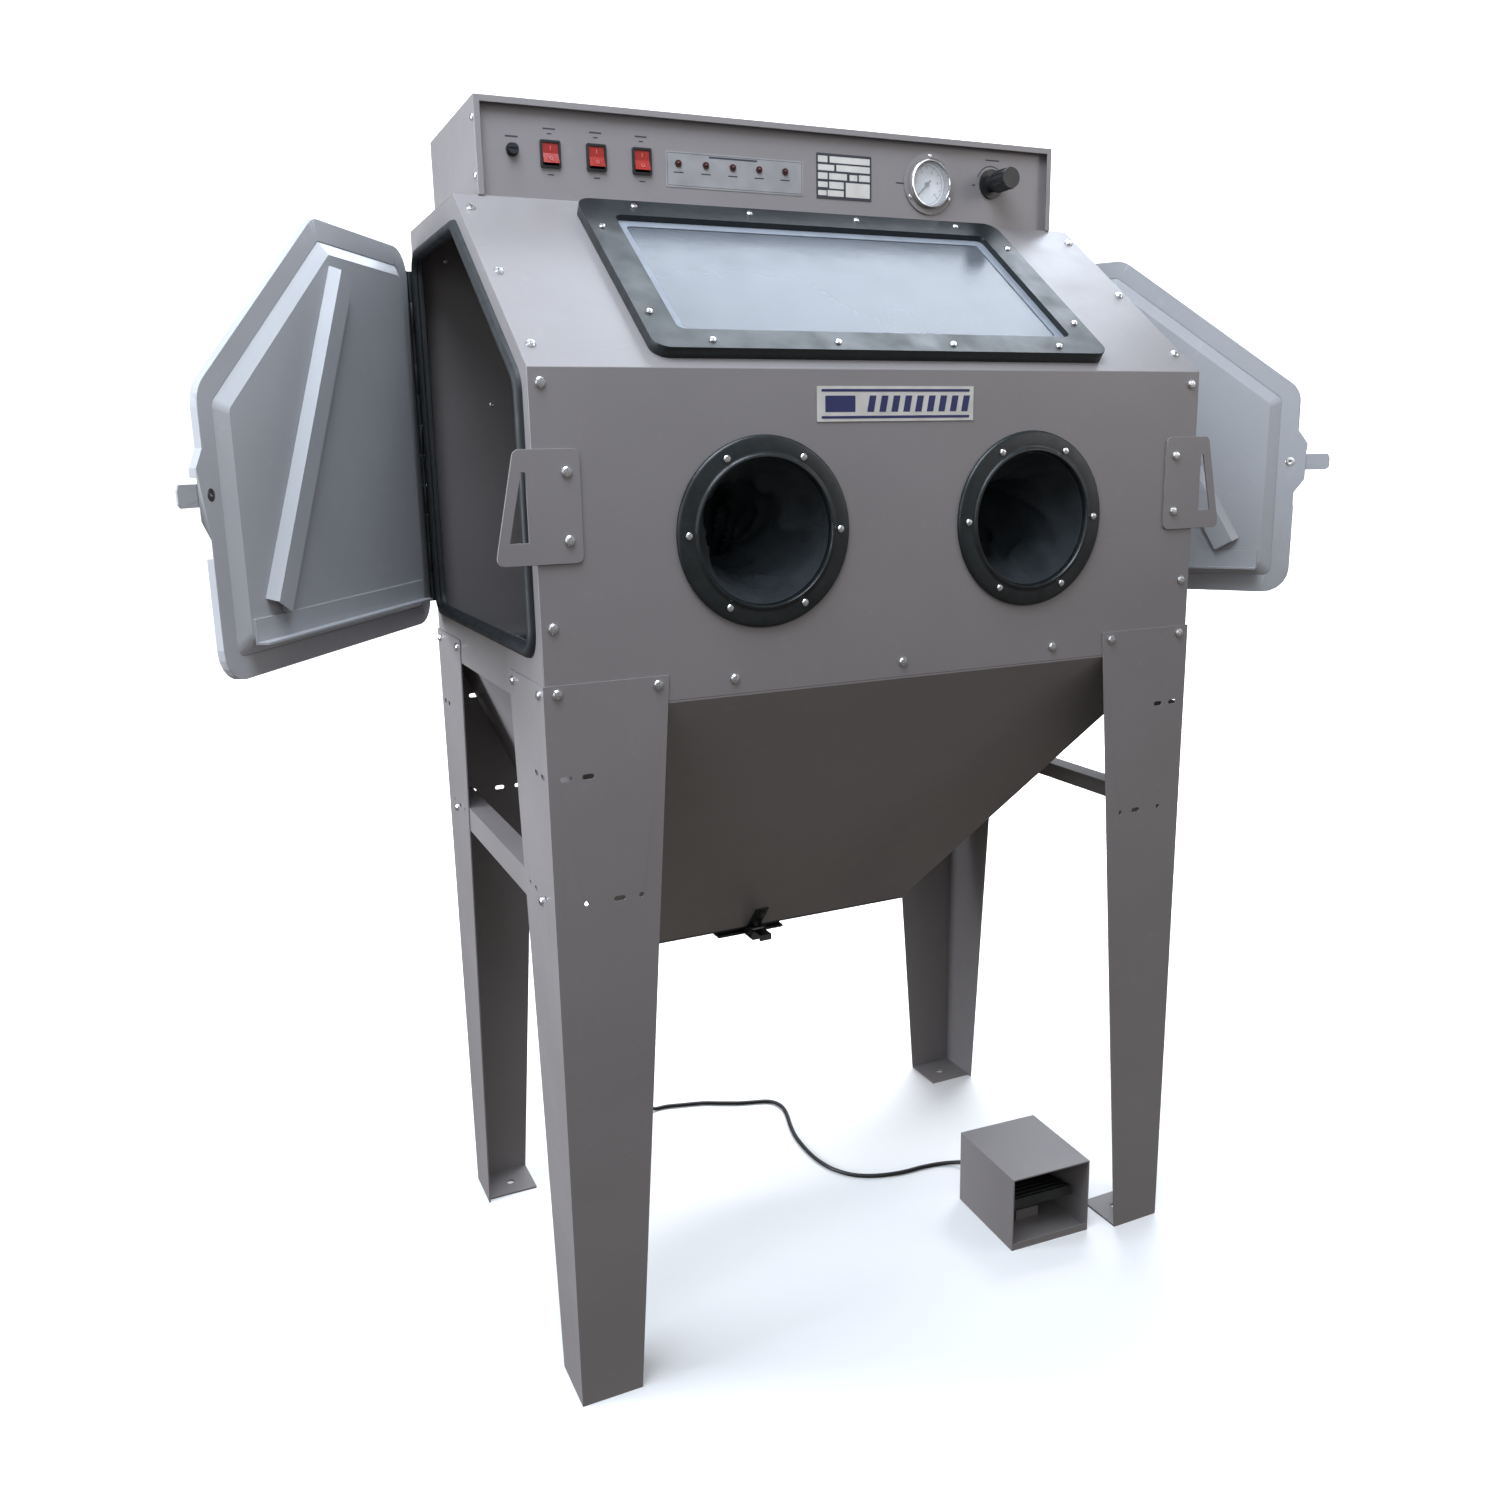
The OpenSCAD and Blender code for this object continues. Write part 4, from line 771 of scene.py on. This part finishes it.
# Gauge: printed dial under the needle.
v, f = lathe([(0.0012, 0), (0.0292, 0), (0.0292, 0.0006), (0.0012, 0.0006)], 64, closed=True)
GAUGE = (0.222, 1.531)
piece("gauge_dial", v, f, "dial_white", place=on_panel(*GAUGE, -0.0059))
ticks = []
for k in range(51):
    a = math.radians(225 - 270 * k / 50)
    long = k % 5 == 0
    r0, r1, half = (0.0215 if long else 0.0238), 0.0258, (0.00035 if long else 0.00018)
    turn = Matrix.Rotation(a, 4, "Z")
    ticks.append(moved(slab([(r0, -half), (r1, -half), (r1, half), (r0, half)], 0, 0.0001), turn))
ticks.append(flat_ring(0.0258, 0.0262, 0.0001, 96))
v, f = join_shapes(ticks)
piece("gauge_ticks", v, f, "ink", place=on_panel(*GAUGE, -0.0053))
for k in range(0, 11, 2):
    a = math.radians(225 - 27 * k)
    words = bpy.data.curves.new("dial_number_%d" % k, "FONT")
    words.body = str(k)
    words.size = 0.0052
    words.align_x = "CENTER"
    words.align_y = "CENTER"
    words.extrude = 0.00004
    words.materials.append(M["ink"])
    digit = bpy.data.objects.new("dial_number_%d" % k, words)
    scene.collection.objects.link(digit)
    digit.matrix_world = on_panel(*GAUGE, -0.0052) @ Matrix.Translation(
        (0.0182 * math.cos(a), 0.0182 * math.sin(a), 0))
    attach(digit, "cabinet")

# The gauge's chrome rim, and a bezel round each indicator lamp.
rim_out = PANEL_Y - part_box("gauge_case")[0].y
v, f = lathe([(0.0296, 0), (0.0328, 0), (0.0326, 0.0012), (0.0316, 0.0020), (0.0304, 0.0018),
              (0.0296, 0.0008)], 96, closed=True)
piece("gauge_rim", v, f, "chrome_trim", place=on_panel(*GAUGE, rim_out))
low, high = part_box("indicator_lamps")
v, f = join_shapes([moved(lathe([(0.0027, 0), (0.0043, 0), (0.0041, 0.0008), (0.0034, 0.0013),
                                 (0.0027, 0.0008)], 24, closed=True),
                          on_panel(x, (low.z + high.z) / 2, 0.0006)) for x in LAMPS])
piece("lamp_bezels", v, f, "chrome_trim")


# Small screw heads that show inside and below the cabinet.
def button(r, h):
    """A low domed head with a recess, facing local z."""
    arc = [(r * math.cos(math.radians(15 * k)), h * math.sin(math.radians(15 * k)))
           for k in range(6)]
    return lathe([(r, -0.0003)] + arc + [(r * 0.24, h * 0.6), (0.00001, h * 0.45)], 20)


BACK_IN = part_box("back_panel")[1].y - 0.0015         # inner face of the back
heads = [moved(button(0.0042, 0.0022), Matrix.Translation((side * x, BACK_IN, z))
               @ Matrix.Rotation(math.pi / 2, 4, "X"))
         for side in (-1, 1) for x, z in ((0.447, 1.251), (0.360, 1.241), (0.445, 1.074),
                                          (0.414, 1.440))]
v, f = join_shapes(heads)
piece("inner_screws", v, f, "zinc")
down = Vector((0, 0.395, -0.4585))             # down the hopper's sloped front
lean = Vector((0, -0.4585, -0.395)).to_track_quat("Z", "Y").to_matrix().to_4x4()
v, f = join_shapes([moved(button(0.0028, 0.0012), Matrix.Translation(
    Vector((x, -0.280, 0.8845)) + down * k) @ lean) for x, k in ((-0.072, 0.517), (0.032, 0.525))])
piece("hopper_rivets", v, f, "zinc")
for side, body in ((-1, "left_door"), (1, "right_door")):
    turn = Matrix.Rotation(DOOR_REST * side, 4, "Z")
    spot = Vector((HINGE.x * side, HINGE.y, 0)) + turn @ Vector((0.0003 * side, -0.529, 0))
    facing = turn @ Matrix.Rotation(-side * math.pi / 2, 4, "Y")
    v, f = button(0.0070, 0.00025)
    piece(body + "_latch_screw", v, f, "zinc", body,
          place=Matrix.Translation((spot.x, spot.y, 1.132)) @ facing)

# ------------------------------------------------------------------ lights and floor

def light(name, kind, place, target, energy, size, colour=(1, 1, 1), size_y=None):
    data = bpy.data.lights.new(name, kind)
    data.energy = energy
    data.color = colour
    data.shape = "RECTANGLE"
    data.size = size
    data.size_y = size_y or size
    obj = bpy.data.objects.new(name, data)
    obj.location = place
    obj.rotation_euler = (Vector(target) - Vector(place)).to_track_quat("-Z", "Y").to_euler()
    scene.collection.objects.link(obj)
    return obj


world = bpy.data.worlds.new("studio")
scene.world = world
world.use_nodes = True
tree = world.node_tree
sky = tree.nodes["Background"]
sky.inputs["Strength"].default_value = 0.465
where = tree.nodes.new("ShaderNodeTexCoord")
split = tree.nodes.new("ShaderNodeSeparateXYZ")
fade = tree.nodes.new("ShaderNodeValToRGB")       # a dim floor below, a soft room above
for spot, tone in zip(fade.color_ramp.elements, ((0.36, 0.325, 0.295), (0.92, 0.95, 1.0))):
    spot.color = (*tone, 1)
fade.color_ramp.elements[0].position = 0.35
fade.color_ramp.elements[1].position = 0.60
lift = tree.nodes.new("ShaderNodeMapRange")
lift.inputs["From Min"].default_value = -1.0
tree.links.new(where.outputs["Generated"], split.inputs["Vector"])
tree.links.new(split.outputs["Z"], lift.inputs["Value"])
tree.links.new(lift.outputs["Result"], fade.inputs["Fac"])
tree.links.new(fade.outputs["Color"], sky.inputs["Color"])

light("left_key", "AREA", (-2.7, 0.2, 1.35), (-0.4, 0.0, 0.85), 92, 1.4, (0.84, 0.91, 1.0))
light("top", "AREA", (-0.6, -0.7, 2.7), (-0.1, -0.1, 1.2), 46, 1.2, (0.80, 0.89, 1.0))
light("ceiling", "AREA", (1.2, 1.3, 3.1), (0, -0.1, 1.3), 80, 2.2, (0.80, 0.89, 1.0))
light("left_fill", "AREA", (-2.5, -2.2, 2.0), (0.3, -0.1, 1.1), 13, 1.6, (0.92, 0.95, 1.0))
light("right_fill", "AREA", (2.6, -2.2, 2.1), (-0.4, -0.1, 1.1), 17, 1.6, (1.0, 0.93, 0.90))
light("backdrop_wash", "AREA", (1.6, 2.0, 4.2), (3.4, 6.5, 0.6), 700, 3.0)

v, f = lathe([(0.0, 0.0), (5.2, 0.0)] + [(5.2 + 1.8 * math.sin(math.radians(9 * k)),
             1.8 - 1.8 * math.cos(math.radians(9 * k))) for k in range(1, 11)] + [(7.0, 4.5)], 96)
mesh = bpy.data.meshes.new("backdrop")
mesh.from_pydata([tuple(p) for p in v], [], f)
mesh.shade_smooth()
n = Nodes("backdrop", (0.88, 0.88, 0.88), 0.8)
n.colour(n.ramp(n.noise(1.2, 3), (0.86, 0.86, 0.86), (0.89, 0.89, 0.89)))
mesh.materials.append(n.mat)
backdrop = bpy.data.objects.new("backdrop", mesh)
scene.collection.objects.link(backdrop)
backdrop.visible_diffuse = False        # no bounce from the pale floor
backdrop.visible_glossy = False

scene.view_settings.view_transform = "Standard"
